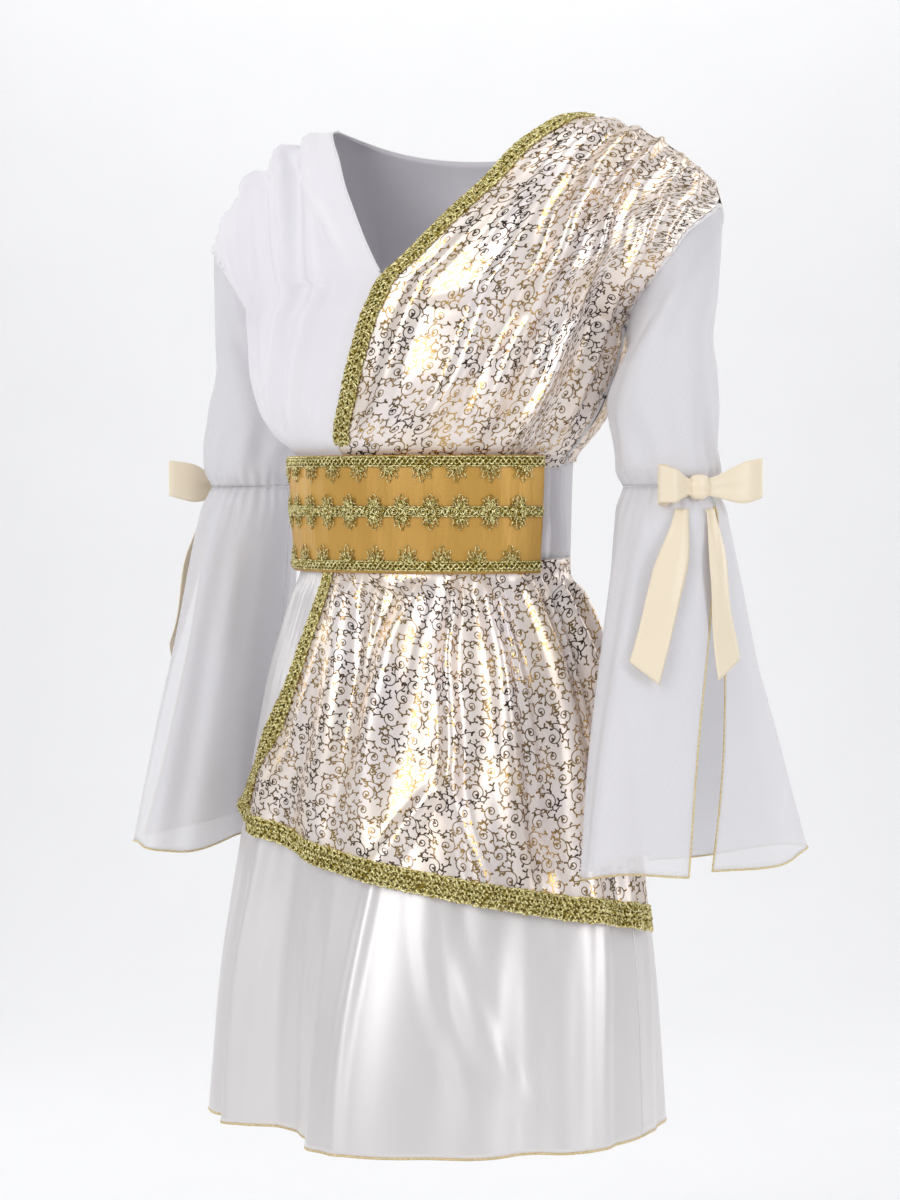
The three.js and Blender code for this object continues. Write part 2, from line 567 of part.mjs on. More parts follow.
function beltPoint(turn, z, out) {
  const spot = torso(turn, 0);
  const waist = torsoSections[0];
  const flatter = waist.halfLeft / waist.front;
  const bulge = beltBulge * soften((z - beltBottom) / (beltTop - beltBottom));
  const away = vector(spot.x - waist.midX, (spot.y - waist.midY) * flatter, 0).normalize();
  return vector(spot.x, spot.y, z).addScaledVector(away, out + bulge);
}
const beltTurns = evenly(28, -beltReach, beltReach);
const beltRows = [beltBottom, (beltBottom + beltTop) / 2, beltTop];
const beltLayer = (out) => gridOf(beltRows, beltTurns, (turn, z) => beltPoint(turn, z, out));
add('belt', between(beltLayer(beltGap + beltWall), beltLayer(beltGap)), 'goldSatin');

// Places along the belt, as lengths from its middle, become turns.
const beltSteps = evenly(280, -beltReach, beltReach);
const beltLengths = [0];
for (let k = 1; k < beltSteps.length; k += 1) {
  const from = beltPoint(beltSteps[k - 1], beltBottom, beltGap + beltWall);
  beltLengths.push(beltLengths[k - 1] + from.distanceTo(beltPoint(beltSteps[k], beltBottom, beltGap + beltWall)));
}
const beltLength = beltLengths[beltLengths.length - 1];
function beltTurnAt(length) {
  let k = 1;
  while (k < beltSteps.length - 1 && beltLengths[k] < length) k += 1;
  const share = (length - beltLengths[k - 1]) / (beltLengths[k] - beltLengths[k - 1]);
  return mix(beltSteps[k - 1], beltSteps[k], share);
}
beltTrims.forEach((trim) => {
  const fans = Math.floor((beltLength - 2) / trim.pitch);
  const start = (beltLength - fans * trim.pitch) / 2;
  const marks = evenly(fans - 1, 0, fans - 1).flatMap((fan) => fanShape.map((mark) => (
    { length: start + (fan + 0.5 + mark.at) * trim.pitch, size: mark.size }
  )));
  marks.push({ length: start + fans * trim.pitch, size: 0 });
  const layer = (out) => [0, 1].map((side) => marks.map((mark) => {
    const z = side === 0 ? trim.low - trim.down * mark.size : trim.high + trim.up * mark.size;
    return beltPoint(beltTurnAt(mark.length), z, out);
  }));
  const inner = beltGap + beltWall + braidGap;
  add(trim.name, between(layer(inner + trimWall), layer(inner)), 'gimp');
});

const sleeveColumns = 24;
const sleeveTurns = evenly(sleeveColumns, -90, 270).slice(0, sleeveColumns);
const sleeveTopLevel = 0.92;
const sleeveRows = [1, 0.93, 0.85, 0.74, 0.6, 0.45, 0.3, 0.15, 0];
// The elbow's elastic draws every second column in.
const elbowGather = { depth: 2.4, sleeveReach: 0.22, bellReach: 0.16 };
function sleeve(armhole, sections, side, apart) {
  const outward = vector(0.87, 0, -0.5);
  return sleeveRows.map((down) => sleeveTurns.map((turn, i) => {
    const front = turn <= 90;
    const share = front ? (turn + 90) / 180 : (270 - turn) / 180;
    const level = mix(underarmLevel, sleeveTopLevel, share);
    const cut = turn === 90 ? 90 : read(armhole, 'turn', 'level', level);
    const rim = torso(side * (front ? cut : 180 - cut), level);
    rim.x *= side;
    rim.addScaledVector(outward, apart);
    const z = mix(rim.z, elbowHeight + seamGap, down);
    const inward = gather(i, elbowGather.depth) * soften(1 - (1 - down) / elbowGather.sleeveReach);
    const x = read(sections, 'midX', 'z', z) + (read(sections, 'across', 'z', z) - inward) * Math.sin(turn * radians);
    const y = read(sections, 'midY', 'z', z) - (read(sections, 'along', 'z', z) - inward) * Math.cos(turn * radians);
    const free = soften(down / 0.5);
    return vector(mix(rim.x, x, free), mix(rim.y, y, free), z);
  }));
}

function bellPoint(sections, turn, level, out = 0) {
  const tilt = read(sections, 'tilt', 'level', level) * radians;
  const wave = bellWaveDepth * (1 - level) * Math.sin(bellWaves * turn * radians + 0.6);
  const across = (read(sections, 'across', 'level', level) + wave * 0.5 + out) * Math.sin(turn * radians);
  const along = (read(sections, 'along', 'level', level) + wave + out) * Math.cos(turn * radians);
  const x = read(sections, 'midX', 'level', level) + across * Math.cos(tilt) + along * Math.sin(tilt) * -1;
  const y = read(sections, 'midY', 'level', level) - across * Math.sin(tilt) - along * Math.cos(tilt);
  return vector(x, y, read(sections, 'z', 'level', level));
}
// Half the gap of the seam under the arm, in degrees.
const innerSeam = { hem: 0.15, elbow: 0.8 };
const bellRows = [0, 0.13, 0.27, 0.41, 0.56, 0.71, 0.83, 0.92, 1];
function bellPanel(sections, front) {
  return bellRows.map((level) => evenly(front ? 12 : 14).map((share, i) => {
    const seam = mix(innerSeam.hem, innerSeam.elbow, level);
    const from = front ? -90 + seam : read(bellOpening, 'backTurn', 'level', level);
    const to = front ? read(bellOpening, 'frontTurn', 'level', level) : 270 - seam;
    const inward = gather(i, elbowGather.depth) * soften(1 - (1 - level) / elbowGather.bellReach);
    return bellPoint(sections, mix(from, to, share), level, -inward);
  }));
}

// Place in a bow's own directions: out from the arm, along it to the rear, and up.
function bowPlace(bow, elbow, out, along, up) {
  const reach = elbow.across + bow.seat + out;
  const x = elbow.midX + bow.towardX * reach - bow.towardY * along;
  const y = elbow.midY + bow.towardY * reach + bow.towardX * along;
  return vector(x, y, elbowHeight - 1 + up);
}
const knotRings = [
  { up: -1, size: 0.35 }, { up: -0.7, size: 0.8 }, { up: 0, size: 1 }, { up: 0.7, size: 0.8 },
  { up: 1, size: 0.35 },
];
function knot(bow, elbow) {
  const turns = evenly(8, 0, 360).slice(0, 8);
  return knotRings.map((ring) => turns.map((turn) => bowPlace(
    bow,
    elbow,
    knotSize.out * ring.size * Math.cos(turn * radians),
    knotSize.along * ring.size * Math.sin(turn * radians),
    knotSize.up * ring.up,
  )));
}
// A solid body inside rings of points.
function body(rings) {
  const across = rings[0].length;
  const points = rings.flat();
  const middle = (ring) => ring.reduce((sum, p) => sum.add(p), vector(0, 0, 0)).divideScalar(across);
  points.push(middle(rings[0]), middle(rings[rings.length - 1]));
  const bottom = points.length - 2;
  const faces = [];
  for (let i = 0; i < across; i += 1) {
    const next = (i + 1) % across;
    faces.push(bottom, next, i);
    const high = (rings.length - 1) * across;
    faces.push(bottom + 1, high + i, high + next);
    for (let j = 0; j < rings.length - 1; j += 1) {
      const low = j * across;
      const up = low + across;
      faces.push(low + i, low + next, up + next, low + i, up + next, up + i);
    }
  }
  const shape = new THREE.BufferGeometry();
  shape.setAttribute('position', new THREE.Float32BufferAttribute(points.flatMap((p) => [p.x, p.y, p.z]), 3));
  shape.setIndex(faces);
  return shape;
}
// A loop is one ribbon that runs out from the knot, round its tip and back, and is pinched at the knot.
function loop(bow, elbow, direction, length) {
  return [-0.5, 0.5].map((edge) => evenly(14, 0, 360).map((turn) => {
    const reach = (1 - Math.cos(turn * radians)) / 2;
    const fullness = mix(loopSizes.pinch, 1, soften(reach * 1.4));
    const apart = loopSizes.ends * (1 - turn / 180);
    const side = Math.sin(turn * radians) * loopSizes.thick * 0.5 * fullness + apart;
    const along = direction * (knotSize.along + loopSizes.gap + length * reach);
    const up = edge * loopSizes.tall * mix(loopSizes.pinchTall, 1, soften(reach * 1.5));
    return bowPlace(bow, elbow, direction * side, along, up + loopSizes.rise * reach);
  }));
}
// A tail starts at a level of the bell, widens from the knot and lifts a little off the sleeve.
const tailShape = { level: 0.935, top: 0.45, full: 0.95, widen: 2.5, lift: 3.5 };
function tail(sections, turn, drift, out) {
  const drop = tailLength / (read(sections, 'z', 'level', 1) - read(sections, 'z', 'level', 0));
  return evenly(7).reverse().map((down) => [-0.5, 0, 0.5].map((side) => {
    const level = tailShape.level - drop * down;
    const wide = ribbonWidth * mix(tailShape.top, tailShape.full, soften(down * tailShape.widen));
    const centre = turn + drift * down;
    const step = bellPoint(sections, centre + 1, level).distanceTo(bellPoint(sections, centre, level));
    return bellPoint(sections, centre + (side * wide) / step, level, out + tailShape.lift * soften(down * 2));
  }));
}

const arms = [
  { name: 'right', side: -1, armhole: armholeRight, upper: sleeveRight, bell: bellRight, bow: bows[1], apart: 1.2 },
  { name: 'left', side: 1, armhole: armholeLeft, upper: sleeveLeft, bell: bellLeft, bow: bows[0], apart: 2 },
];
arms.forEach(({ name, side, armhole, upper, bell, bow, apart }) => {
  const place = (grid) => (side > 0 ? grid : mirrored(grid));
  const elbow = upper[0];
  add(`sleeve_upper_${name}`, wall(place(sleeve(armhole, upper, side, apart)), clothWall, true), 'chiffon');
  add(`sleeve_bell_front_${name}`, wall(place(bellPanel(bell, true)), clothWall), 'chiffon');
  add(`sleeve_bell_back_${name}`, wall(place(bellPanel(bell, false)), clothWall), 'chiffon');
  const ribbon = (part, grid) => add(`bow_${part}_${name}`, wall(place(grid), ribbonWall), 'ribbon');
  add(`bow_knot_${name}`, body(place(knot(bow, elbow))), 'ribbon');
  ribbon('loop_large', loop(bow, elbow, bow.big, loopSizes.big));
  ribbon('loop_small', loop(bow, elbow, -bow.big, loopSizes.small));
  ribbon('tail_front', tail(bell, bow.tails[0], -14, tailSeat));
  ribbon('tail_back', tail(bell, bow.tails[1], 12, tailSeat));
});

export default group;
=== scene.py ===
import math
import bpy
import numpy as np
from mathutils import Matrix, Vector


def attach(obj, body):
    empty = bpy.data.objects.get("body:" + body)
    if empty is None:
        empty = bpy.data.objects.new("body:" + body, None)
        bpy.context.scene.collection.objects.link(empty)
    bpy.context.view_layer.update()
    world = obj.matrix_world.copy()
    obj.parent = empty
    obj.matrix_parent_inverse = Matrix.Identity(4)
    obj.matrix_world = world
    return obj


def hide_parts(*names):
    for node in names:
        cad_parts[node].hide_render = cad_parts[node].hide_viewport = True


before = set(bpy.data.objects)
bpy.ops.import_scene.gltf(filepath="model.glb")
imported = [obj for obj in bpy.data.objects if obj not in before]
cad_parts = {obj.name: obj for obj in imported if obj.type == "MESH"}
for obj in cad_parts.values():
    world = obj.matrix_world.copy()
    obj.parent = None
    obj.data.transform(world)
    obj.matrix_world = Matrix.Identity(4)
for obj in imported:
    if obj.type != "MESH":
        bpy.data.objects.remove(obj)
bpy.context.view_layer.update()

mm = 0.001
hemHeight = -738.0
skirtTop = -320.3
beltBottom = -331.0  # height of the belt's lower edge
overBelt = 0.31  # level of the gathers just above the belt
elbowHeight = -268.4
bellDrop = 268.4  # from the elbow to the bell's hem
# The shoulders slope from a distance off the middle, by so much for each square millimetre past it.
shoulderSlope = dict(start=95, right=0.0066, left=0.004)
backNeck = dict(left=116, right=95, dip=0.09)
seamGap = 0.15  # degrees from a side seam to the edge of each panel

# Tables of the dress's cut, in millimetres and degrees.
torso = dict(
    level=[0, 0.24, 0.3, 0.36, 0.44, 0.54, 0.575, 0.64, 0.74, 0.84, 0.92, 0.97, 1],
    z=[-320, -248, -233, -212, -185, -150, -137, -112, -76, -44, -19, -5, 0],
    halfRight=[105, 107, 121, 134, 143, 149, 154, 172, 192, 203, 206, 206, 205],
    halfLeft=[105, 107, 118, 130, 140, 147, 160, 191, 208, 213, 211, 208, 206],
    front=[84, 87, 97, 104, 107, 107, 105, 103, 93, 76, 52, 28, 0.5],
    back=[84, 87, 92, 96, 98, 100, 100, 98, 92, 78, 55, 30, 0.5],
    midX=[-8, -8, -8, -6, -4, -2, -1, 0, 2, 3, 4, 4, 4],
    midY=[-3, -3, -3, -2, -1, 0, 0, 0, 2, 4, 6, 7, 8],
    drape=[0, 0, 0, 0, 0, 0, 0.05, 0.15, 0.4, 0.65, 0.85, 0.95, 1],
)
armholeRight = dict(level=[0, 0.54, 0.58, 0.66, 0.76, 0.86, 0.92, 0.97, 1],
                    turn=[90, 90, 84, 76, 74, 78, 86.5, 89.4, 89.8])
armholeLeft = dict(level=[0, 0.54, 0.575, 0.64, 0.74, 0.84, 0.92, 0.97, 1],
                   turn=[90, 90, 82, 73, 72, 77, 86.5, 89.4, 89.8])
neckEdge = dict(level=[0.62, 0.708, 0.8, 0.88, 0.95, 1], turn=[1.5, -5.8, -12, -17.5, -24, -29.2])
neckFoot = neckEdge['level'][0]  # level where the neck's opening ends
sashEdge = dict(level=[0, 0.27, 0.375, 0.463, 0.544, 0.609, 0.659, 0.745, 0.818, 0.901, 0.956, 1],
                turn=[-16, -15.5, -10, -6.8, -3.7, 0, 6, 13, 18.5, 22.5, 27, 29.4])
skirt = dict(
    z=[-738, -640, -536, -420, -350, -333, -320],
    half=[171, 166, 153, 134, 111, 105.3, 105],
    front=[130, 126, 119, 108, 90, 84.3, 84],
    back=[137, 129, 121, 104, 89, 84.3, 84],
    midX=[-4, -4, -4, -5, -7, -8, -8],
    midY=[-12, -9, -5, -3, -3, -3, -3],
)
skirtFolds = dict(
    turnTop=[-24, 12, -38, -60, 42, 70, 120, 165, 208, 246],
    turnHem=[-26, 8, -42, -62, 32, 62, 118, 160, 212, 250],
    width=[17, 16, 9, 9, 11, 12, 13, 14, 14, 11],
    top=[-400, -420, -340, -340, -420, -420, -340, -340, -340, -340],
    depth=[-20, 7, 9, 8, 7, 8, 9, 10, 10, 8],
)
stepFold = dict(turn=-10, width=8, top=-470, depth=20, fade=60)
overSide = dict(z=[-508, -489, -456, -422, -394, -356, -320], turn=[-60, -53, -42.5, -35.5, -31, -29, -28.5])
overHem = dict(share=[0, 0.05, 0.18, 0.34, 0.52, 0.7, 0.82, 1],
               z=[-508, -517, -529, -544, -559, -573, -581, -594])
sleeves = dict(
    left=dict(z=[-268, -257, -238, -212, -185, -156, -120, -80],
              midX=[181, 180, 178, 176, 179, 181, 186, 188], midY=[0, 0, 0, 0, 0, 1, 2, 4],
              across=[32, 37, 36, 38, 34, 28, 28, 24], along=[36, 42, 41, 43, 42, 40, 36, 30]),
    right=dict(z=[-268, -257, -238, -212, -185, -156, -120, -80],
               midX=[180, 181, 181, 181, 180, 181, 180, 182], midY=[18, 18, 20, 25, 26, 20, 12, 6],
               across=[31, 35, 34, 34, 29, 25, 24, 22], along=[34, 38, 39, 39, 38, 36, 32, 30]),
)
bells = dict(
    left=dict(level=[0, 0.3, 0.6, 0.92, 1], z=[-537, -457, -375, -288, -268.6],
              midX=[208, 199, 191, 183, 181], midY=[-12, -8, -4, 0, 0],
              across=[41, 42, 41, 39, 32], along=[120, 100, 76, 46, 36], tilt=[14, 12, 8, 2, 0]),
    right=dict(level=[0, 0.3, 0.6, 0.92, 1], z=[-537, -457, -375, -288, -268.6],
               midX=[206, 198, 190, 182, 180], midY=[-10, 0, 9, 16, 18],
               across=[41, 40, 37, 36, 31], along=[120, 98, 72, 44, 34], tilt=[14, 12, 8, 2, 0]),
)
bellOpening = dict(level=[0, 0.35, 0.7, 0.9, 1], front=[62, 66, 74, 80, 81], back=[74, 84, 88, 84, 83])


# Smooth curve through a table's points with no overshoot: cubic pieces whose slopes are harmonic means.
def curve(keys, values, at):
    keys, values, at = (np.asarray(v, float) for v in (keys, values, at))
    step = np.diff(keys)
    slope = np.diff(values) / step
    tangent = np.concatenate([[slope[0]], np.zeros(len(slope) - 1), [slope[-1]]])
    before, after = slope[:-1], slope[1:]
    same = before * after > 0
    tangent[1:-1] = np.where(same, 2 * before * after / np.where(same, before + after, 1), 0)
    at = np.clip(at, keys[0], keys[-1])
    k = np.clip(np.searchsorted(keys, at) - 1, 0, len(step) - 1)
    s = (at - keys[k]) / step[k]
    rise = s * s * (3 - 2 * s)
    return (values[k] * (1 - rise) + values[k + 1] * rise
            + step[k] * s * (1 - s) * (tangent[k] * (1 - s) - tangent[k + 1] * s))


# Straight blend from a to b.
def mix(a, b, share):
    return a + (b - a) * share


# Smooth step from 0 to 1: x squared times (3 - 2x).
def soften(x):
    x = np.clip(x, 0, 1)
    return x * x * (3 - 2 * x)


# Soft hill from 1 at 0 to 0 at 1 either side: (1 - x squared) squared.
def bump(x):
    return np.clip(1 - x * x, 0, 1) ** 2


# Point of the torso at a turn and a level: an ellipse for each level, which sinks with the shoulders' slope.
def torsoPoint(turn, level):
    sine, cosine = np.sin(np.radians(turn)), np.cos(np.radians(turn))
    read = {key: curve(torso['level'], torso[key], level) for key in torso if key != 'level'}
    half = np.where(sine < 0, read['halfRight'], read['halfLeft'])
    depth = np.where(cosine > 0, read['front'], read['back'])
    x = read['midX'] + half * sine
    apart = 0.6 * soften((level - 0.9) / 0.07) * np.where(cosine > 0, -1, 1)
    y = read['midY'] - depth * cosine + apart
    past = np.maximum(0, np.abs(x) - shoulderSlope["start"])
    fall = np.where(x < 0, shoulderSlope["right"], shoulderSlope["left"])
    z = read['z'] - read['drape'] * fall * past ** 2
    return np.stack([x, y, z], -1)


# Outward direction at each point of a grid: the cross product of its two neighbours' differences.
def outward(grid):
    away = np.cross(np.gradient(grid, axis=1), np.gradient(grid, axis=0))
    return away / np.maximum(np.linalg.norm(away, axis=-1, keepdims=True), 1e-9)


# The grid moved along its outward direction.
def movedOut(grid, distance):
    distance = np.broadcast_to(np.asarray(distance, float), grid.shape[:2])
    return grid + outward(grid) * distance[..., None]


# Lengths along the rows and columns of a grid, in metres, for the cloth's own UV map.
def clothLengths(grid):
    across = np.linalg.norm(np.diff(grid, axis=1), axis=-1)
    u = np.concatenate([np.zeros((grid.shape[0], 1)), np.cumsum(across, 1)], 1)
    u -= u[:, grid.shape[1] // 2][:, None]
    up = np.linalg.norm(np.diff(grid, axis=0), axis=-1).mean(1)
    v = np.concatenate([[0], np.cumsum(up)])[:, None] + 0 * u
    return np.stack([u, v], -1) * mm


# Bilinear reading of a grid of points, or of a grid of numbers, at fractional rows and columns.
def sample(grid, row, column):
    row = np.clip(row, 0, grid.shape[0] - 1.0001)
    column = np.clip(column, 0, grid.shape[1] - 1.0001)
    j, i = np.floor(row).astype(int), np.floor(column).astype(int)
    a, b = row - j, column - i
    if grid.ndim == 3:
        a, b = a[..., None], b[..., None]
    return ((grid[j, i] * (1 - b) + grid[j, i + 1] * b) * (1 - a)
            + (grid[j + 1, i] * (1 - b) + grid[j + 1, i + 1] * b) * a)


# Points of a trim laid on a grid: a reading of the grid, moved out by a height.
def laidOn(grid, away, row, column, height):
    return sample(grid, row, column) + sample(away, row, column) * np.asarray(height)[..., None]


# A smooth mesh from points in millimetres, with the cloth's lengths as its UV map.
def meshObject(name, points, faces, material, uv=None):
    mesh = bpy.data.meshes.new(name)
    points = np.asarray(points, float).reshape(-1, 3) * mm
    faces = np.asarray(faces)
    mesh.from_pydata(points.tolist(), [], faces.tolist())
    if uv is not None:
        layer = mesh.uv_layers.new(name="cloth")
        corner = np.zeros(len(mesh.loops), dtype=np.int32)
        mesh.loops.foreach_get("vertex_index", corner)
        layer.data.foreach_set("uv", np.asarray(uv, float).reshape(-1, 2)[corner].ravel())
    mesh.polygons.foreach_set("use_smooth", np.ones(len(mesh.polygons), dtype=bool))
    mesh.materials.append(material)
    mesh.update()
    piece = bpy.data.objects.new(name, mesh)
    bpy.context.scene.collection.objects.link(piece)
    return piece


def gridFaces(rows, columns, closed=False):
    j, i = np.meshgrid(np.arange(rows - 1), np.arange(columns if closed else columns - 1), indexing="ij")
    here, right = j * columns + i, j * columns + (i + 1) % columns
    return np.stack([here, right, right + columns, here + columns], -1).reshape(-1, 4)


# A sheet of cloth: one grid of points, thickened inwards.
def clothSheet(name, grid, material, thick, nodes, closed=False):
    rows, columns = grid.shape[:2]
    piece = meshObject(name, grid, gridFaces(rows, columns, closed), material, clothLengths(grid))
    solid = piece.modifiers.new("thickness", "SOLIDIFY")
    solid.thickness = thick * mm
    solid.offset = -1
    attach(piece, "root")
    if nodes:
        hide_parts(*nodes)
    return piece


# Small work such as cord or print, laid on the dress as one joined mesh.
def trimPiece(name, parts, material, nodes=()):
    points, faces, start = [], [], 0
    for p, f in parts:
        points.append(p.reshape(-1, 3))
        faces.append(f + start)
        start += points[-1].shape[0]
    piece = meshObject(name, np.concatenate(points), np.concatenate(faces), material)
    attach(piece, "root")
    if nodes:
        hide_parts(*nodes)
    return piece


# Round cord along each row of points: rings of a few sides square to the path.
def cord(paths, radius, sides=5, ringed=False):
    paths = np.asarray(paths, float)
    if paths.ndim == 2:
        paths = paths[None]
    if ringed:
        tangent = np.roll(paths, -1, 1) - np.roll(paths, 1, 1)
    else:
        tangent = np.gradient(paths, axis=1)
    tangent /= np.maximum(np.linalg.norm(tangent, axis=-1, keepdims=True), 1e-9)
    helper = np.where(np.abs(tangent[..., 2:3]) > 0.9, [1.0, 0, 0], [0, 0, 1.0])
    side = np.cross(tangent, helper)
    side /= np.maximum(np.linalg.norm(side, axis=-1, keepdims=True), 1e-9)
    other = np.cross(side, tangent)
    angle = np.linspace(0, 2 * np.pi, sides, endpoint=False)
    radius = np.broadcast_to(np.asarray(radius, float), paths.shape[:2])[..., None, None]
    ring = side[..., None, :] * np.cos(angle)[:, None] + other[..., None, :] * np.sin(angle)[:, None]
    ring = ring * radius
    count, length = paths.shape[:2]
    c, l, s = np.meshgrid(np.arange(count), np.arange(length if ringed else length - 1), np.arange(sides),
                          indexing="ij")
    here, ahead = (c * length + l) * sides, (c * length + (l + 1) % length) * sides
    turned = (s + 1) % sides
    faces = np.stack([here + s, here + turned, ahead + turned, ahead + s], -1).reshape(-1, 4)
    return (paths[..., None, :] + ring).reshape(-1, 3), faces


print("stage: tables and helpers ready")


# One socket of a material's nodes, with the usual arithmetic.
class Value:
    def __init__(self, tree, socket):
        self.tree, self.socket = tree, socket

    def math(self, operation, other=None, flip=False):
        step = self.tree.nodes.new("ShaderNodeMath")
        step.operation = operation
        for k, item in enumerate([other, self] if flip else [self, other]):
            if isinstance(item, Value):
                self.tree.links.new(item.socket, step.inputs[k])
            elif item is not None:
                step.inputs[k].default_value = item
        return Value(self.tree, step.outputs[0])

    def __add__(self, other):
        return self.math("ADD", other)

    def __radd__(self, other):
        return self.math("ADD", other)

    def __sub__(self, other):
        return self.math("SUBTRACT", other)

    def __rsub__(self, other):
        return self.math("SUBTRACT", other, True)

    def __mul__(self, other):
        return self.math("MULTIPLY", other)

    def __rmul__(self, other):
        return self.math("MULTIPLY", other)

    def __pow__(self, other):
        return self.math("POWER", other)


# One material: a Principled shader whose sockets are named with underscores for spaces.
class Finish:
    def __init__(self, name, **settings):
        self.material = bpy.data.materials.new(name)
        self.material.use_nodes = True
        self.tree = self.material.node_tree
        self.shader = self.tree.nodes["Principled BSDF"]
        for socket, value in settings.items():
            self.set(socket, value)

    def set(self, socket, value):
        self.put(self.shader.inputs[socket.replace("_", " ")], value)

    def put(self, target, value):
        if isinstance(value, Value):
            self.tree.links.new(value.socket, target)
        elif hasattr(value, "__len__") and len(target.default_value) == 4 and len(value) == 3:
            target.default_value = (*value, 1)
        else:
            target.default_value = value

    # Any node: its type, its settings, then its sockets' values or links.
    def node(self, kind, settings=None, output=0, **sockets):
        step = self.tree.nodes.new("ShaderNode" + kind)
        for key, value in (settings or {}).items():
            setattr(step, key, value)
        for key, value in sockets.items():
            self.put(step.inputs[key.replace("_", " ")], value)
        return Value(self.tree, step.outputs[output])

    # Output 2 of Texture Coordinate is the piece's UV map, and output 3 its Object coordinates.
    def place(self, scale, uv=True):
        source = self.node("TexCoord", output=2 if uv else 3)
        return self.node("Mapping", Vector=source, Scale=scale)

    def noise(self, scale, detail=3.0, uv=True):
        return self.node("TexNoise", Vector=self.place(scale, uv), Scale=1.0, Detail=detail)

    # A Mix node for colours takes its share at input 0 and its colours at 6 and 7; output 2 is the result.
    def blend(self, share, first, second):
        step = self.tree.nodes.new("ShaderNodeMix")
        step.data_type = "RGBA"
        self.put(step.inputs[0], share)
        self.put(step.inputs[6], first)
        self.put(step.inputs[7], second)
        return Value(self.tree, step.outputs[2])

    def relief(self, height, strength, distance):
        self.set("Normal", self.node("Bump", Height=height, Strength=strength, Distance=distance))


# Matt crepe chiffon; sheer where alpha is under 1, with the threads a little denser than the gaps.
def chiffonFinish(name, alpha, look):
    cloth = Finish(name, Roughness=look["roughness"], Sheen_Weight=look["sheen"], Sheen_Roughness=0.4,
                   Specular_IOR_Level=0.25)
    tone = cloth.noise((14, 9, 9), 2)
    cloth.set("Base_Color", cloth.blend(tone, look["shade"], look["light"]))
    cloth.relief(cloth.noise((900, 900, 900), 4), look["relief"], 0.0004)
    if alpha < 1:
        cloth.set("Alpha", cloth.noise((300, 1600, 1), 2) * 0.08 + (alpha - 0.04))
    return cloth.material


chiffonLook = dict(
    roughness=0.75, light=(0.88, 0.865, 0.895), shade=(0.82, 0.8, 0.845), sheen=0.12, relief=0.25)
bodiceChiffon = chiffonFinish("bodice chiffon", 1.0, chiffonLook)
sleeveChiffon = chiffonFinish("sleeve chiffon", 0.56, dict(
    chiffonLook, light=(0.92, 0.91, 0.93), shade=(0.86, 0.85, 0.885)))


# Satin: fine threads in one direction change the gloss and the relief.
def satinFinish(name, look):
    cloth = Finish(name, Specular_IOR_Level=look["gloss"], Metallic=look.get("metallic", 0.0),
                   Coat_Weight=look.get("coat", 0.0), Coat_Roughness=0.16)
    tone = cloth.noise((10, 6, 6), 2)
    cloth.set("Base_Color", cloth.blend(tone, look["shade"], look["light"]))
    fibre = cloth.noise(look["fibre"], 3)
    cloth.set("Roughness", fibre * 0.12 + (look["roughness"] - 0.06))
    cloth.relief(fibre, look["relief"], 0.0003)
    return cloth.material


skirtSatin = satinFinish("skirt satin", dict(
    roughness=0.42, light=(0.84, 0.815, 0.81), shade=(0.74, 0.715, 0.725), gloss=0.8, metallic=0.38,
    fibre=(1500, 30, 30), relief=0.12))
beltSatin = satinFinish("belt satin", dict(
    roughness=0.4, light=(0.72, 0.43, 0.1), shade=(0.5, 0.265, 0.04), gloss=0.6, metallic=0.25,
    fibre=(900, 25, 25), relief=0.5))
bowSatin = satinFinish("bow satin", dict(
    roughness=0.38, light=(0.93, 0.84, 0.68), shade=(0.88, 0.74, 0.54), gloss=0.5,
    fibre=(40, 1600, 40), relief=0.1))


# Foil-printed satin: pearly lilac-white, with warm gold patches laid in at random by a stretched noise as a
# painted reflection of the foil's gold sheen.
def foilFinish(name, look):
    cloth = Finish(name, Metallic=0.5, Specular_IOR_Level=0.8, Specular_Tint=(1.0, 0.82, 0.6),
                   Coat_Weight=0.12, Coat_Roughness=0.3)
    # Painted reflection: a squared noise blends warm gold patches into the colour.
    paintedReflection = cloth.noise(look["reflectionPatches"], 2) ** 2.0
    tone = cloth.blend(cloth.noise((16, 9, 9), 2), look["shade"], look["light"])
    cloth.set("Base_Color", cloth.blend(paintedReflection, tone, look["paintedReflection"]))
    fibre = cloth.noise(look["fibre"], 3)
    cloth.set("Roughness", fibre * 0.1 + (look["roughness"] - 0.05))
    cloth.relief(fibre, 0.06, 0.0003)
    return cloth.material


# The warm gold colour is the painted reflection, laid in patches by a stretched noise.
foilSatin = foilFinish("foil satin", dict(
    roughness=0.4, light=(0.96, 0.92, 0.925), shade=(0.88, 0.82, 0.85),
    paintedReflection=(0.96, 0.77, 0.53), reflectionPatches=(34, 8, 1), fibre=(1200, 40, 40)))


# Metal thread or foil: flecks of two tones in the colour, random tone and painted glints at once, with small
# glints in the gloss and relief.
def metalFinish(name, look):
    metal = Finish(name, Metallic=look["metallic"])
    # Painted glints: a noise of raised contrast flips the colour between dark and bright flecks.
    paintedGlintsAndTone = (metal.noise((look["fleckScale"],) * 3, 2, uv=False) - 0.5) * look["contrast"] + 0.5
    metal.set("Base_Color", metal.blend(paintedGlintsAndTone, look["dark"], look["bright"]))
    glint = metal.noise((look["fleckScale"] * 3,) * 3, 1, uv=False)
    metal.set("Roughness", glint * 0.3 + (look["roughness"] - 0.15))
    metal.relief(glint, look["relief"], 0.0004)
    return metal.material
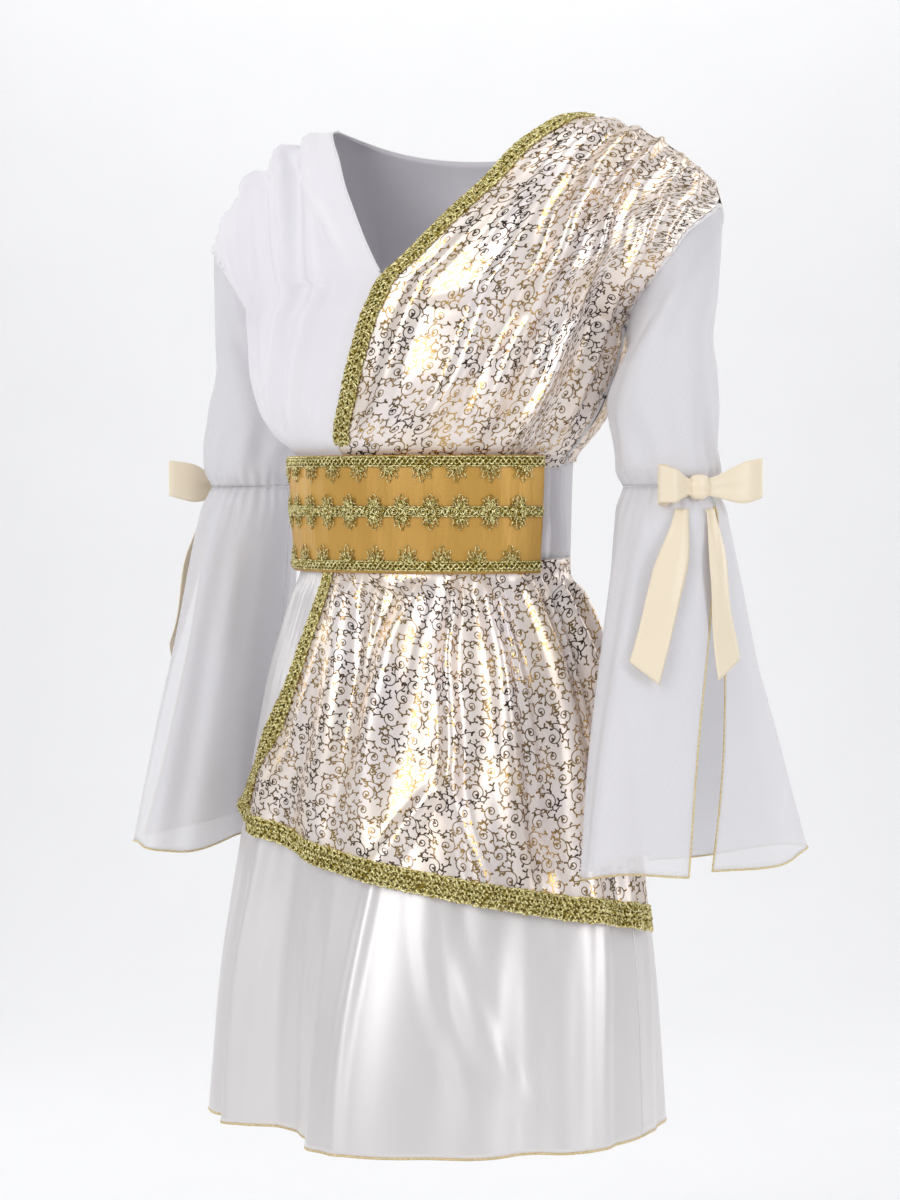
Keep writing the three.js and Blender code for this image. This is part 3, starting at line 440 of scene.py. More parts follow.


# The gimp's sharp bright and dark flecks are painted glints of its glittering thread.
gimpGold = metalFinish("gimp gold", dict(
    roughness=0.32, metallic=0.65, fleckScale=620, contrast=5.5,
    dark=(0.3, 0.21, 0.01), bright=(1.0, 0.93, 0.5), relief=1.0))
# A dark sheet under the braids and belt trims: painted shade in the gaps between their loops.
gimpShade = metalFinish("gimp painted shade", dict(
    roughness=0.5, metallic=0.5, fleckScale=900, contrast=3,
    dark=(0.1, 0.07, 0.005), bright=(0.42, 0.31, 0.05), relief=0.9))
hemGold = metalFinish("hem gold", dict(
    roughness=0.45, metallic=0.4, fleckScale=700, contrast=2,
    dark=(0.58, 0.43, 0.18), bright=(0.88, 0.73, 0.45), relief=0.6))
# The print's broad dark and gold patches, laid at random, are painted reflection: dark as if mirroring the
# dim room, gold as if catching the lamps.
foilInk = metalFinish("foil scroll", dict(
    roughness=0.22, metallic=0.95, fleckScale=26, contrast=4,
    dark=(0.07, 0.05, 0.04), bright=(0.62, 0.4, 0.15), relief=0.05))
rolledEdge = chiffonFinish("rolled edge", 1.0, dict(chiffonLook, light=(0.85, 0.83, 0.82)))
print("stage: finishes ready")


# Edges of the bodice panels, as turns by level.
def sideRight(level):
    return -curve(armholeRight['level'], armholeRight['turn'], level)


def sideLeft(level):
    return curve(armholeLeft['level'], armholeLeft['turn'], level)


def turnFor(length, turn, level):
    step = np.linalg.norm(torsoPoint(turn + 1, level) - torsoPoint(turn, level), axis=-1)
    return length / np.maximum(step, 0.4)


def sashStart(level):
    return curve(sashEdge['level'], sashEdge['turn'], level)


def sashInner(level):
    start = sashStart(level)
    return start + turnFor(14, start, level)


# 0 where the belt holds the cloth in, rising to 1 above it.
def freeOfBelt(level):
    return soften((level - 0.27) / 0.09)


# Sum of soft ridges and troughs: each row has half a breadth, then its place across and its depth
# at the table's stops along the cloth.
def foldSum(table, across, along):
    total = np.zeros(np.broadcast(across, along).shape)
    for width, places, depths in table["rows"]:
        offset = (across - curve(table["along"], places, along)) / width
        total = total + curve(table["along"], depths, along) * bump(offset)
    return total


# Uneven gathers: a sine whose pitch drifts, from 0 to 2.
def gathers(share, count, drift=2.0):
    return 1 + np.sin(share * count * 2 * np.pi + drift * np.sin(share * 17) + drift * np.sin(share * 41 + 1))


bodiceLook = dict(thick=0.7, shoulderGathers=21, beltGathers=24)
bodiceFolds = dict(along=[0, 0.3, 0.45, 0.6, 0.75, 0.9, 1], rows=[
    (0.06, [0.15, 0.2, 0.25, 0.33, 0.42, 0.52, 0.56], [1, 2.5, 4, 4, 4, 3, 2]),
    (0.05, [0.35, 0.4, 0.44, 0.5, 0.55, 0.62, 0.66], [0, -0.5, -1, -2, -3, -3.5, -2]),
    (0.05, [0.45, 0.5, 0.55, 0.61, 0.68, 0.73, 0.76], [1, 2.5, 3, 3.5, 3.5, 3, 2]),
    (0.05, [0.5, 0.55, 0.6, 0.66, 0.74, 0.8, 0.84], [0, -0.5, -0.5, -1, -2.5, -4, -3]),
    (0.05, [0.62, 0.66, 0.7, 0.74, 0.82, 0.87, 0.9], [0, 1.5, 2, 2.5, 2.5, 2.5, 1]),
    (0.035, [0.88, 0.9, 0.9, 0.9, 0.87, 0.82, 0.8], [0, 0, 1, 2, 2, 1, 0]),
    (0.03, [0.05, 0.08, 0.12, 0.15, 0.2, 0.3, 0.35], [1, 2, 2, 2, 2, 1.5, 1]),
    (0.03, [0.3, 0.28, 0.3, 0.36, 0.45, 0.55, 0.6], [1.5, 2, 1, 0, 0, 0.5, 1]),
])


# The right front: the torso's surface, moved out by its folds, its gathers and its puckered armhole edge.
def bodiceFrontRight(rows=104, columns=94):
    level, share = np.meshgrid(np.linspace(0, 1, rows), np.linspace(0, 1, columns), indexing="ij")
    under = sashInner(level) - turnFor(0.3, sashInner(level), level)
    neck = curve(neckEdge['level'], neckEdge['turn'], level)
    end = np.where(level <= neckFoot, under, np.minimum(neck, under))
    base = torsoPoint(mix(sideRight(level) + seamGap, end, share), level)
    quiet = 1 - soften((share - 0.75) / 0.2) * soften((0.72 - level) / 0.06)
    top = gathers(share, bodiceLook["shoulderGathers"]) * soften((level - 0.86) / 0.14)
    low = gathers(share, bodiceLook["beltGathers"]) * soften(1 - np.abs(level - overBelt) / 0.1)
    edge = gathers(level, 22) * soften((0.1 - share) / 0.1) * soften((level - 0.5) / 0.1)
    out = 2.0 * foldSum(bodiceFolds, share, level) + 0.7 * top + 0.7 * low + 1.5 * edge
    return movedOut(base, out * freeOfBelt(level) * quiet)


rightPoints = bodiceFrontRight()
bodiceRight = clothSheet("bodiceFrontRight", rightPoints, bodiceChiffon, bodiceLook["thick"],
                         ["bodice_front_right"])
neckRow = int(neckFoot * len(rightPoints)) + 1
neckCord = movedOut(rightPoints, 0.1)[neckRow:, -1]
trimPiece("neckRolledEdge", [cord(neckCord, 0.8)], rolledEdge)

sashLook = dict(thick=0.6, shoulderGathers=26, beltGathers=20, edgePuckers=30, foot=0.215)
sashFolds = dict(along=[0, 0.3, 0.45, 0.6, 0.75, 0.9, 1], rows=[
    (0.05, [0.08, 0.085, 0.095, 0.1, 0.09, 0.06, 0.05], [1, 3, 3.5, 3, 1, 0.5, 0.3]),
    (0.055, [0.24, 0.276, 0.335, 0.345, 0.27, 0.17, 0.12], [2, 4, 5, 4.5, 2, 1.5, 1]),
    (0.045, [0.33, 0.37, 0.4, 0.45, 0.34, 0.22, 0.16], [-1, -2.5, -3, -3.5, -3.5, -3, -1.5]),
    (0.055, [0.46, 0.48, 0.48, 0.53, 0.43, 0.3, 0.22], [2, 5, 6, 6, 6, 5, 2]),
    (0.045, [0.57, 0.56, 0.565, 0.6, 0.5, 0.37, 0.29], [-1, -3, -3.5, -3.5, -3.5, -2.5, -1]),
    (0.04, [0.63, 0.635, 0.66, 0.69, 0.58, 0.44, 0.36], [2, 6, 7, 8, 8, 7, 3]),
    (0.05, [0.72, 0.72, 0.75, 0.78, 0.67, 0.52, 0.43], [-1, -2, -2, -2.5, -2.5, -2, -1]),
    (0.05, [0.82, 0.82, 0.83, 0.86, 0.78, 0.62, 0.52], [1.5, 3.5, 4.5, 4.5, 4.5, 4, 1.5]),
    (0.05, [0.93, 0.93, 0.93, 0.95, 0.9, 0.78, 0.68], [0, 1.5, 2, 1, 2, 2.5, 1]),
    (0.03, [0.17, 0.16, 0.18, 0.2, 0.17, 0.11, 0.08], [1.5, 1.5, 0, 0, 1.5, 1.2, 0.5]),
    (0.025, [0.4, 0.38, 0.3, 0.25, 0.2, 0.15, 0.1], [2, 1, 0, 0, 0, 0.5, 0.8]),
])


# The sash: the torso's surface, moved out by its folds, its gathers and the puckers of its armhole edge.
def sashGrid(level, share):
    turn = mix(sashStart(level), sideLeft(level) - seamGap, share)
    base = torsoPoint(turn, level)
    inner, side = sashInner(level), sideLeft(level) - seamGap
    across = (turn - inner) / (side - inner)
    bust = bump((level - 0.59 - 0.05 * (across - 0.2)) / 0.035) * bump((across - 0.22) / 0.17)
    top = gathers(across, sashLook["shoulderGathers"]) * soften((level - 0.9) / 0.1)
    low = gathers(across, sashLook["beltGathers"]) * soften(1 - np.abs(level - overBelt) / 0.06)
    nearEdge = soften((across - 0.9) / 0.1) * soften((level - 0.42) / 0.1)
    edge = gathers(level, sashLook["edgePuckers"]) * nearEdge
    calm = soften((across + 0.02) / 0.06)
    fine = foldSum(sashFolds, across, level) + 3 * bust + 0.35 * top + 0.35 * low + 0.9 * edge
    return movedOut(base, 2.0 + fine * calm * freeOfBelt(level))


# The left front of white chiffon lies under the sash and shows beside the end of the belt.
level, share = np.meshgrid(np.linspace(0, 1, 60), np.linspace(0, 1, 70), indexing="ij")
leftBase = torsoPoint(mix(sashInner(level), sideLeft(level) - seamGap, share), level)
besideBelt = soften((0.25 - level) / 0.04) * soften((share - 0.74) / 0.1)
puff = (1.6 * gathers(share, 19) + 2.6 * bump((level - 0.05) / 0.07)) * besideBelt
underSash = 4.5 * soften((level - 0.24) / 0.07)
leftPoints = movedOut(leftBase, puff - underSash)
bodiceLeft = clothSheet("bodiceFrontLeft", leftPoints, bodiceChiffon, bodiceLook["thick"],
                        ["bodice_front_left"])

# The sash's lower edge climbs to the waist under the end of the belt.
rise, share = np.meshgrid(np.linspace(0, 1, 130), np.linspace(0, 1, 130), indexing="ij")
level = mix(sashLook["foot"] * soften((share - 0.62) / 0.16), 1, rise)
sashPoints = sashGrid(level, share)
sash = clothSheet("sashFront", sashPoints, foilSatin, sashLook["thick"], ["sash"])

# A white piping closes the sash's edge along the side seam.
level, share = np.meshgrid(np.linspace(0.22, 0.555, 40), [0.98, 0.99, 1], indexing="ij")
sideSeam = sashGrid(level, share)
trimPiece("sideSeamEdge", [cord(sideSeam[:, -1], 1.5, 6)], rolledEdge)


# The back: the same torso, dipped at the neck, with soft upright waves.
def backGrid(rows=70, columns=96, last=1.0, out=0.0):
    level, share = np.meshgrid(np.linspace(0, 1, rows), np.linspace(0, last, columns), indexing="ij")

    def turnAt(at):
        return mix(180 - sideLeft(at) + seamGap, 180 - sideRight(at) - seamGap, share)
    x = torsoPoint(turnAt(level), level)[..., 0]
    middle, reach = (backNeck["left"] - backNeck["right"]) / 2, (backNeck["left"] + backNeck["right"]) / 2
    top = 1 - backNeck["dip"] * np.sqrt(np.maximum(0, 1 - ((x - middle) / reach) ** 2))
    base = torsoPoint(turnAt(level), level * mix(1, top, soften((level - 0.5) / 0.5)))
    waves = gathers(share, 9) * soften((1 - level) * 3)
    waves = waves + 0.7 * gathers(share, 30) * soften(1 - np.abs(level - overBelt) / 0.1)
    return movedOut(base, out + 0.9 * waves * freeOfBelt(level))


backPoints = backGrid()
back = clothSheet("bodiceBack", backPoints, bodiceChiffon, bodiceLook["thick"],
                  ["bodice_back"])
sashBackPoints = backGrid(70, 36, 0.25, 2.3)[16:]
sashBack = clothSheet("sashBack", sashBackPoints, foilSatin, sashLook["thick"], ["sash_back"])
trimPiece("backNeckEdge", [cord(movedOut(backPoints, 0.1)[-1, 24:84], 0.8)], rolledEdge)
print("stage: bodice and sash ready")

skirtLook = dict(
    thick=0.7,
    turn=[-75, -52, -38.5, -28, -13, 4.5, 58, 74, 105, 140, 185, 225, 260],
    width=[4, 5, 3.2, 5, 6, 3, 6, 5, 6, 7, 7, 6, 6],
    depth=[3, 3.5, 5, -3, 4.5, 4, 3, 3, 3, 3, 3, 3, 3],
    top=[-345, -350, -345, -420, -500, -470, -560, -480, -340, -340, -340, -340, -340],
)
# The hollow under a hanging swag: two ridges that part downwards from the overskirt's hem.
swagRidges = dict(z=[-738, -700, -660, -620, -570, -500],
                  left=[34, 31, 25.5, 21.5, 19, 18], right=[54, 45, 35, 29, 24, 22],
                  depth=[0, 1, 2, 2.8, 2.2, 0])


def around(offset):
    return (offset + 540) % 360 - 180


# The skirt's hanging folds: ridges that grow towards the hem, and one place where the cloth steps out.
def skirtOut(turn, z):
    out = np.zeros(np.broadcast(turn, z).shape)
    columns = ("turnTop", "turnHem", "width", "top", "depth")
    for a, b, width, top, depth in zip(*(skirtFolds[key] for key in columns)):
        down = np.clip((top - z) / (top - hemHeight), 0, 1)
        out = out + depth * down * bump(around(turn - mix(a, b, down)) / (width * mix(0.7, 1.2, down)))
    offset = around(turn - stepFold["turn"])
    rise = soften((offset + stepFold["width"] / 2) / stepFold["width"])
    settle = 1 - soften((offset - stepFold["width"]) / stepFold["fade"])
    fall = soften((stepFold["top"] - z) / (stepFold["top"] - hemHeight))
    return out + stepFold["depth"] * fall * rise * settle


# Point of the skirt at a turn and a height: an ellipse for each height, moved out by the hanging folds.
def skirtPoint(turn, z, extra=0.0):
    sine, cosine = np.sin(np.radians(turn)), np.cos(np.radians(turn))
    read = {key: curve(skirt['z'], skirt[key], z) for key in skirt if key != 'z'}
    out = skirtOut(turn, z) + extra
    x = read['midX'] + (read['half'] + out) * sine
    y = read['midY'] - (np.where(cosine > 0, read['front'], read['back']) + out) * cosine
    return np.stack([x, y, z + 0 * x], -1)


# A skirt panel: the skirt's surface with its small folds, the swag and the gathers at the waist.
def skirtGrid(low, high, rows, columns):
    z, turn = np.meshgrid(np.linspace(hemHeight, skirtTop, rows), np.linspace(low, high, columns),
                          indexing="ij")
    extra = np.zeros(z.shape)
    for t, width, depth, top in zip(*(skirtLook[k] for k in ("turn", "width", "depth", "top"))):
        down = np.clip((top - z) / 120, 0, 1)
        fade = 1 - 0.4 * soften((-600 - z) / 130)
        extra += depth * soften(down) * fade * bump(around(turn - t - 4 * np.sin(z / 90)) / width)
    swag = curve(swagRidges["z"], swagRidges["depth"], z)
    for key, width in (("left", 4.5), ("right", 6)):
        extra += swag * bump((turn - curve(swagRidges["z"], swagRidges[key], z)) / width)
    extra -= 2.5 * bump((turn - 46) / 9) * soften((-570 - z) / 60)
    free = np.where((turn < -34) | (turn > 103), 1.0, 0.25)
    nearWaist = soften((beltBottom - z) / 18) * (1 - soften((-350 - z) / 90))
    extra += 1.2 * free * gathers(turn / 100, 26) * nearWaist
    return skirtPoint(turn, z, extra)


skirtFrontPoints = skirtGrid(-89.85, 89.85, 90, 190)
skirtFront = clothSheet("skirtFront", skirtFrontPoints, skirtSatin, skirtLook["thick"],
                        ["skirt_front"])
skirtBackPoints = skirtGrid(90.15, 269.85, 64, 140)
skirtBack = clothSheet("skirtBack", skirtBackPoints, skirtSatin, skirtLook["thick"],
                       ["skirt_back"])
skirtPanels = (skirtFrontPoints, skirtBackPoints)
hemThreads = [cord(movedOut(panel, -0.3)[0] + [0, 0, 0.9], 0.85) for panel in skirtPanels]
trimPiece("skirtHemThread", hemThreads, hemGold)

overLook = dict(
    thick=0.6, top=-321.1, reach=100.0, corner=-60.0, sideTop=-28.5, topGathers=26,
    sideBraid=0.046, hemBraid=0.07,  # the braids' shares of its breadth and of its height
)


# Turn and height on the overskirt by share of its breadth and rise from its hem.
def overPlace(share, rise):
    z = np.zeros(np.broadcast(share, rise).shape) - 400
    reach, corner, sideTop = overLook["reach"], overLook["corner"], overLook["sideTop"]
    for _ in range(8):  # each round brings the height and the side edge's turn closer together
        first = curve(overSide['z'], overSide['turn'], z)
        turn = mix(sideTop, reach, share) + (first - sideTop) * (1 - share) ** 2.5
        hem = curve(overHem['share'], overHem['z'], (turn - corner) / (reach - corner))
        z = mix(hem, overLook["top"], rise)
    return turn, z


overCreases = dict(along=[0, 0.2, 0.45, 0.7, 0.9, 1], rows=[
    (0.055, [0.2, 0.17, 0.145, 0.1, 0.065, 0.05], [2, 6, 7, 5, 4, 3]),
    (0.045, [0.27, 0.24, 0.21, 0.17, 0.13, 0.11], [0, -2.5, -3.5, -3, -2, -1]),
    (0.06, [0.3, 0.28, 0.25, 0.26, 0.31, 0.335], [1, 4, 8, 9, 6, 3]),
    (0.05, [0.37, 0.35, 0.335, 0.34, 0.375, 0.385], [-1, -2, -3, -3, -2, -1]),
    (0.03, [0.44, 0.44, 0.43, 0.41, 0.435, 0.44], [0, 2, 8, 8, 6, 3]),
    (0.03, [0.31, 0.37, 0.43, 0.43, 0.43, 0.43], [3, 6, 0, 0, 0, 0]),
    (0.03, [0.52, 0.475, 0.43, 0.43, 0.43, 0.43], [3, 5.5, 0, 0, 0, 0]),
    (0.05, [0.5, 0.49, 0.49, 0.48, 0.485, 0.49], [0, -1, -3, -3, -2, -1]),
    (0.04, [0.6, 0.58, 0.56, 0.55, 0.535, 0.53], [4, 5, 6, 7, 6, 3]),
    (0.04, [0.68, 0.665, 0.65, 0.63, 0.61, 0.6], [-1, -2, -2, -2, -1, -1]),
    (0.045, [0.74, 0.73, 0.73, 0.72, 0.7, 0.695], [4, 5, 7, 7, 5, 3]),
    (0.05, [0.88, 0.87, 0.87, 0.86, 0.84, 0.83], [5, 6, 7, 8, 7, 4]),
    (0.05, [0.96, 0.96, 0.96, 0.96, 0.95, 0.94], [2, 4, 6, 8, 8, 5]),
    (0.04, [0.07, 0.055, 0.05, 0.045, 0.04, 0.03], [2, 3.5, 3, 2, 1, 1]),
    (0.018, [0.24, 0.22, 0.2, 0.19, 0.2, 0.22], [0, 0, 1.5, 2.5, 3, 2]),
    (0.016, [0.64, 0.63, 0.62, 0.6, 0.58, 0.57], [0, 0, 1, 2, 3, 2]),
    (0.016, [0.8, 0.8, 0.79, 0.78, 0.77, 0.76], [0, 0.5, 1, 2, 3, 2]),
])


# The overskirt: the skirt's surface, moved out by its folds and the gathers at the belt.
def overGrid(share, rise):
    turn, z = overPlace(share, rise)
    across = (share - overLook["sideBraid"]) / (1 - overLook["sideBraid"])
    calm = soften(across / 0.03)
    out = foldSum(overCreases, across, rise)
    out += 0.9 * calm * gathers(across, overLook["topGathers"]) * (1 - soften((beltBottom - z) / 32))
    lift = 2.0 + 3.5 * soften((beltBottom - z) / 60)
    lift = lift + np.maximum(out * soften((beltBottom + 1 - z) / 22), 1.3 - lift)
    return movedOut(skirtPoint(turn, z), lift)


rise, share = np.meshgrid(np.linspace(0, 1, 120), np.linspace(0, 1, 170), indexing="ij")
overPoints = overGrid(share, rise)
overskirt = clothSheet("overskirtFoil", overPoints, foilSatin, overLook["thick"], ["overskirt"])
print("stage: skirt and overskirt ready")


# Heading turned by curvature along a stroke, then summed into points.
def stroke(length, bends, count, turn=0.0):
    s = np.linspace(0, 1, count)
    bend = np.interp((s[1:] + s[:-1]) / 2, *zip(*bends))
    heading = np.radians(turn) + np.concatenate([[0], np.cumsum(bend)]) * length / (count - 1)
    steps = np.stack([np.cos(heading), np.sin(heading)], -1)[:-1] * length / (count - 1)
    return np.concatenate([[[0, 0]], np.cumsum(steps, 0)])


# The printed scroll: a curl that opens from a forked bud, short hooks on its back and a stem that bends away.
def scrollMotif():
    length, count = 30.5, 36
    bends = [(0, 0.5), (0.07, 0.75), (0.18, 0.47), (0.45, 0.26),
             (0.74, 0.2), (0.8, 0.05), (0.86, -0.2), (1, -0.36)]
    curl = stroke(length, bends, count)
    s = np.linspace(0, length, count)
    parts = [(curl, 0.58 + 0.8 * np.exp(-(s / 1.5) ** 2) + 0.5 * np.exp(-((s - length) / 1.4) ** 2))]
    hooks = ((1, 190, 2.0, -0.5), (1, 95, 1.7, 0.5), (16, -60, 2.6, -0.5), (24, -70, 2.6, 0.5),
             (29, 75, 2.8, -0.5), (34, 70, 1.8, -0.4), (34, -75, 1.8, 0.4))
    for at, turn, size, bend in hooks:
        ahead = np.arctan2(*(curl[min(at + 1, count - 1)] - curl[min(at, count - 2)])[::-1])
        hook = stroke(size, [(0, bend), (1, bend)], 6, np.degrees(ahead) + turn) + curl[at]
        parts.append((hook, np.linspace(0.7, 1.25, 6)))
    return [(p - curl[:24].mean(0), w) for p, w in parts]


# A loose twig that fills the gaps: a short bent stem, forked at both ends.
def twigMotif():
    stem = stroke(6.5, [(0, 0.15), (1, 0.5)], 9)
    parts = [(stem, np.full(9, 0.75))]
    forks = ((8, 65, 2.3, -0.4), (8, -65, 2.0, 0.4), (0, 215, 2.0, 0.5),
             (0, 130, 2.2, -0.5), (4, -70, 1.8, 0.5))
    for at, turn, size, bend in forks:
        ahead = np.arctan2(*(stem[min(at + 1, 8)] - stem[min(at, 7)])[::-1])
        fork = stroke(size, [(0, bend), (1, bend)], 5, np.degrees(ahead) + turn) + stem[at]
        parts.append((fork, np.linspace(0.75, 1.2, 5)))
    return [(p - stem[4], w) for p, w in parts]


# One repeat of the print, 48 units each way: place, turn, hand and size of each motif.
printTile = 48.0
printSize = 1.2  # millimetres in a unit
scrollChart = np.array([
    (6, 6, 20, 1, 1.0), (21, 5, 150, -1, 0.92), (37, 8, 255, 1, 1.0),
    (13, 19, 300, -1, 0.96), (29, 18, 60, 1, 1.04), (45, 21, 170, -1, 0.94),
    (4, 31, 200, 1, 1.0), (20, 32, 95, -1, 0.96), (36, 31, 330, 1, 0.98),
    (12, 43, 45, -1, 1.0), (28, 44, 225, 1, 0.95), (43, 43, 120, -1, 1.0)])
twigChart = np.array([
    (13.5, 11, 30, 1, 1.0), (29, 9.5, 200, -1, 0.9), (45, 12, 300, 1, 1.0), (21, 24, 120, -1, 0.9),
    (5, 21, 250, 1, 1.0), (37, 21, 20, 1, 1.0), (12, 29, 170, -1, 0.8), (28, 28, 70, 1, 0.9),
    (28, 36, 330, -1, 0.9), (44, 34, 220, 1, 1.0), (12, 36, 100, 1, 0.9), (4, 40, 10, -1, 1.0),
    (20, 41, 280, 1, 0.9), (36, 40, 60, -1, 0.9), (20, 13, 160, 1, 0.8), (33, 1, 190, 1, 0.9),
    (13, 48, 75, 1, 0.9), (14, 4.5, 80, 1, 0.9), (33, 14, 250, -1, 0.8), (9, 24, 30, 1, 0.8),
    (24, 47, 330, 1, 0.8)])


# Lays the print on a panel: cloth lengths give each motif's place on the grid. Its lines are flat ribbons.
def foilPrint(name, grid, lift=0.12):
    away = outward(grid)
    lengths = clothLengths(grid) / mm / printSize
    u, v = lengths[..., 0], lengths[:, 0, 1]
    axis = np.linspace(u.min(), u.max(), 500)
    inverse = np.stack([np.interp(axis, line, np.arange(len(line)), left=np.nan, right=np.nan) for line in u])
    tilesU = np.arange(np.floor(u.min() / printTile) - 1, np.ceil(u.max() / printTile) + 1)
    tilesV = np.arange(-1, np.ceil(v.max() / printTile) + 1)
    parts = []
    for chart, motif in ((scrollChart, scrollMotif()), (twigChart, twigMotif())):
        tu, tv, k = (a.ravel() for a in np.meshgrid(tilesU, tilesV, np.arange(len(chart)), indexing="ij"))
        x, y, turn, hand, size = chart[k].T
        x, y = x + tu * printTile + (tv % 2) * printTile * 0.5, y + tv * printTile
        cosine, sine = np.cos(np.radians(turn)), np.sin(np.radians(turn))
        for line, width in motif:
            ahead = np.gradient(line, axis=0)
            ahead /= np.linalg.norm(ahead, axis=-1, keepdims=True)
            square = np.stack([-ahead[:, 1], ahead[:, 0]], -1) * width[:, None] / 2
            both = np.stack([line + square, line - square], 1)
            px = both[None, ..., 0] * size[:, None, None]
            py = both[None, ..., 1] * (size * hand)[:, None, None]
            pu = x[:, None, None] + px * cosine[:, None, None] - py * sine[:, None, None]
            pv = y[:, None, None] + px * sine[:, None, None] + py * cosine[:, None, None]
            row = np.interp(pv, v, np.arange(len(v)), left=np.nan, right=np.nan)
            spot = (pu - axis[0]) / (axis[1] - axis[0])
            fine = np.isfinite(row) & (spot >= 0) & (spot <= len(axis) - 1)
            column = sample(inverse, np.where(fine, row, 0), np.where(fine, spot, 0))
            fine &= np.isfinite(column)
            row, column = np.where(fine, row, 0), np.where(fine, column, 0)
            points = laidOn(grid, away, row, column, np.full(row.shape, lift))
            count, length = points.shape[:2]
            c, l = np.meshgrid(np.arange(count), np.arange(length - 1), indexing="ij")
            here = (c * length + l) * 2
            faces = np.stack([here, here + 1, here + 3, here + 2], -1).reshape(-1, 4)
            good = fine.reshape(-1)[faces].all(1)
            faces = faces[good]
            flat = points.reshape(-1, 3)
            normal = np.cross(flat[faces[:, 1]] - flat[faces[:, 0]], flat[faces[:, 3]] - flat[faces[:, 0]])
            facing = (normal * sample(away, row, column).reshape(-1, 3)[faces[:, 0]]).sum(1) > 0
            faces = np.where(facing[:, None], faces, faces[:, ::-1])
            used, packed = np.unique(faces, return_inverse=True)
            parts.append((flat[used], packed.reshape(-1, 4)))
    return trimPiece(name, parts, foilInk)


foilPrint("sashFoilPrint", sashPoints)
foilPrint("sashBackFoilPrint", sashBackPoints)
foilPrint("overskirtFoilPrint", overPoints)
print("stage: foil print ready")

gimpLook = dict(pitch=6.2, lift=1.0, steps=14)
# Each cord of a half braid: how far it swings along and across, its centre, phase and radius.
gimpCords = [(2.6, 0.17, 0.31, 0.0, 0.85), (1.5, 0.1, 0.36, 2.0, 0.7),
             (2.1, 0.13, 0.13, 3.6, 0.75), (1.2, 0.08, 0.2, 5.0, 0.65)]


# Gimp braid on a band of points: two mirrored rows of looped cord beside a wavy middle cord, over a dark
# sheet of painted shade.
def gimpBraid(name, band, nodes):
    away = outward(band)
    middle = band[:, band.shape[1] // 2]
    along = np.concatenate([[0], np.cumsum(np.linalg.norm(np.diff(middle, axis=0), axis=-1))])
    loops = max(2, round(along[-1] / gimpLook["pitch"]))
    pitch = along[-1] / loops
    t = np.linspace(0, loops * 2 * np.pi, loops * gimpLook["steps"])
    columns = band.shape[1] - 1
    lines = [(pitch * t / (2 * np.pi), 0.5 + 0.06 * np.sin(2 * t), 1.7 + 0.4 * np.cos(2 * t), 0.8)]
    for side in (-1, 1):
        for swing, breadth, centre, phase, radius in gimpCords:
            uneven = 1 + 0.15 * np.sin(t * 0.37 + phase)
            lines.append((pitch * t / (2 * np.pi) + swing * np.sin(t + phase + 0.6 * side),
                          0.5 + side * (centre + breadth * uneven * np.cos(t + phase + 0.6 * side)),
                          gimpLook["lift"] + 0.7 * np.sin(t + phase * 2 + side), radius))
    parts = []
    for s, across, height, radius in lines:
        row = np.interp(np.clip(s, 0.4, along[-1] - 0.4), along, np.arange(len(along)))
        path = laidOn(band, away, row, across * columns, height)
        parts.append(cord(path, radius * (1 + 0.22 * np.sin(t * 7)), 5))
    # Painted shade: a dark sheet just under the cords darkens the gaps between the loops.
    shadeSheet = band[:, 1:-1] + away[:, 1:-1] * 0.3
    trimPiece(name + "Ground", [(shadeSheet, gridFaces(*shadeSheet.shape[:2]))], gimpShade)
    return trimPiece(name, parts, gimpGold, nodes)


level, share = np.meshgrid(np.linspace(0.285, 1, 120), np.linspace(0, 1, 9), indexing="ij")
part = (sashInner(level) - sashStart(level)) / (sideLeft(level) - seamGap - sashStart(level))
gimpBraid("sashBraid", sashGrid(level, share * part), ["sash_braid"])
rise, share = np.meshgrid(np.linspace(overLook["hemBraid"], 0.955, 90),
                          np.linspace(0, overLook["sideBraid"], 9), indexing="ij")
gimpBraid("overskirtSideBraid", overGrid(share, rise), ["overskirt_side_braid"])
rise, share = np.meshgrid(np.linspace(0, overLook["hemBraid"], 9), np.linspace(0, 1, 170), indexing="ij")
hemBand = overGrid(share, rise)[::-1].transpose(1, 0, 2)
gimpBraid("overskirtHemBraid", hemBand, ["overskirt_hem_braid"])
print("stage: braids ready")

beltLook = dict(inner=3.3, thick=2.0, cloth=1.6, reach=70.0, low=beltBottom, high=-246.0, bulge=3.6)
beltLook["height"] = beltLook["high"] - beltLook["low"]


# A place on the belt: the waist's ellipse, moved out by a distance and by its bulge towards the top.
def beltPoint(turn, z, out):
    turn, z, out = np.broadcast_arrays(np.asarray(turn, float), np.asarray(z, float), np.asarray(out, float))
    spot = torsoPoint(turn, 0 * turn)
    away = np.stack([spot[..., 0] + 8, (spot[..., 1] + 3) * 1.25, 0 * turn], -1)
    away /= np.linalg.norm(away, axis=-1, keepdims=True)
    bulge = beltLook["bulge"] * soften((z - beltLook["low"]) / beltLook["height"])
    result = spot + away * (out + bulge)[..., None]
    result[..., 2] = z
    return result


z, turn = np.meshgrid(np.linspace(beltLook["low"], beltLook["high"], 30),
                      np.linspace(-beltLook["reach"], beltLook["reach"], 140), indexing="ij")
middleOfBelt = np.sin((z - beltLook["low"]) / beltLook["height"] * np.pi)
pucker = 0.25 * np.sin(turn * 2.3 + 2 * np.sin(z / 9)) * middleOfBelt + 0.3 * np.sin(turn * 0.6 + z / 30)
beltFace = beltPoint(turn, z, beltLook["inner"] + beltLook["thick"] + pucker - 0.3)
belt = clothSheet("beltPanel", beltFace, beltSatin, beltLook["cloth"], ["belt"])

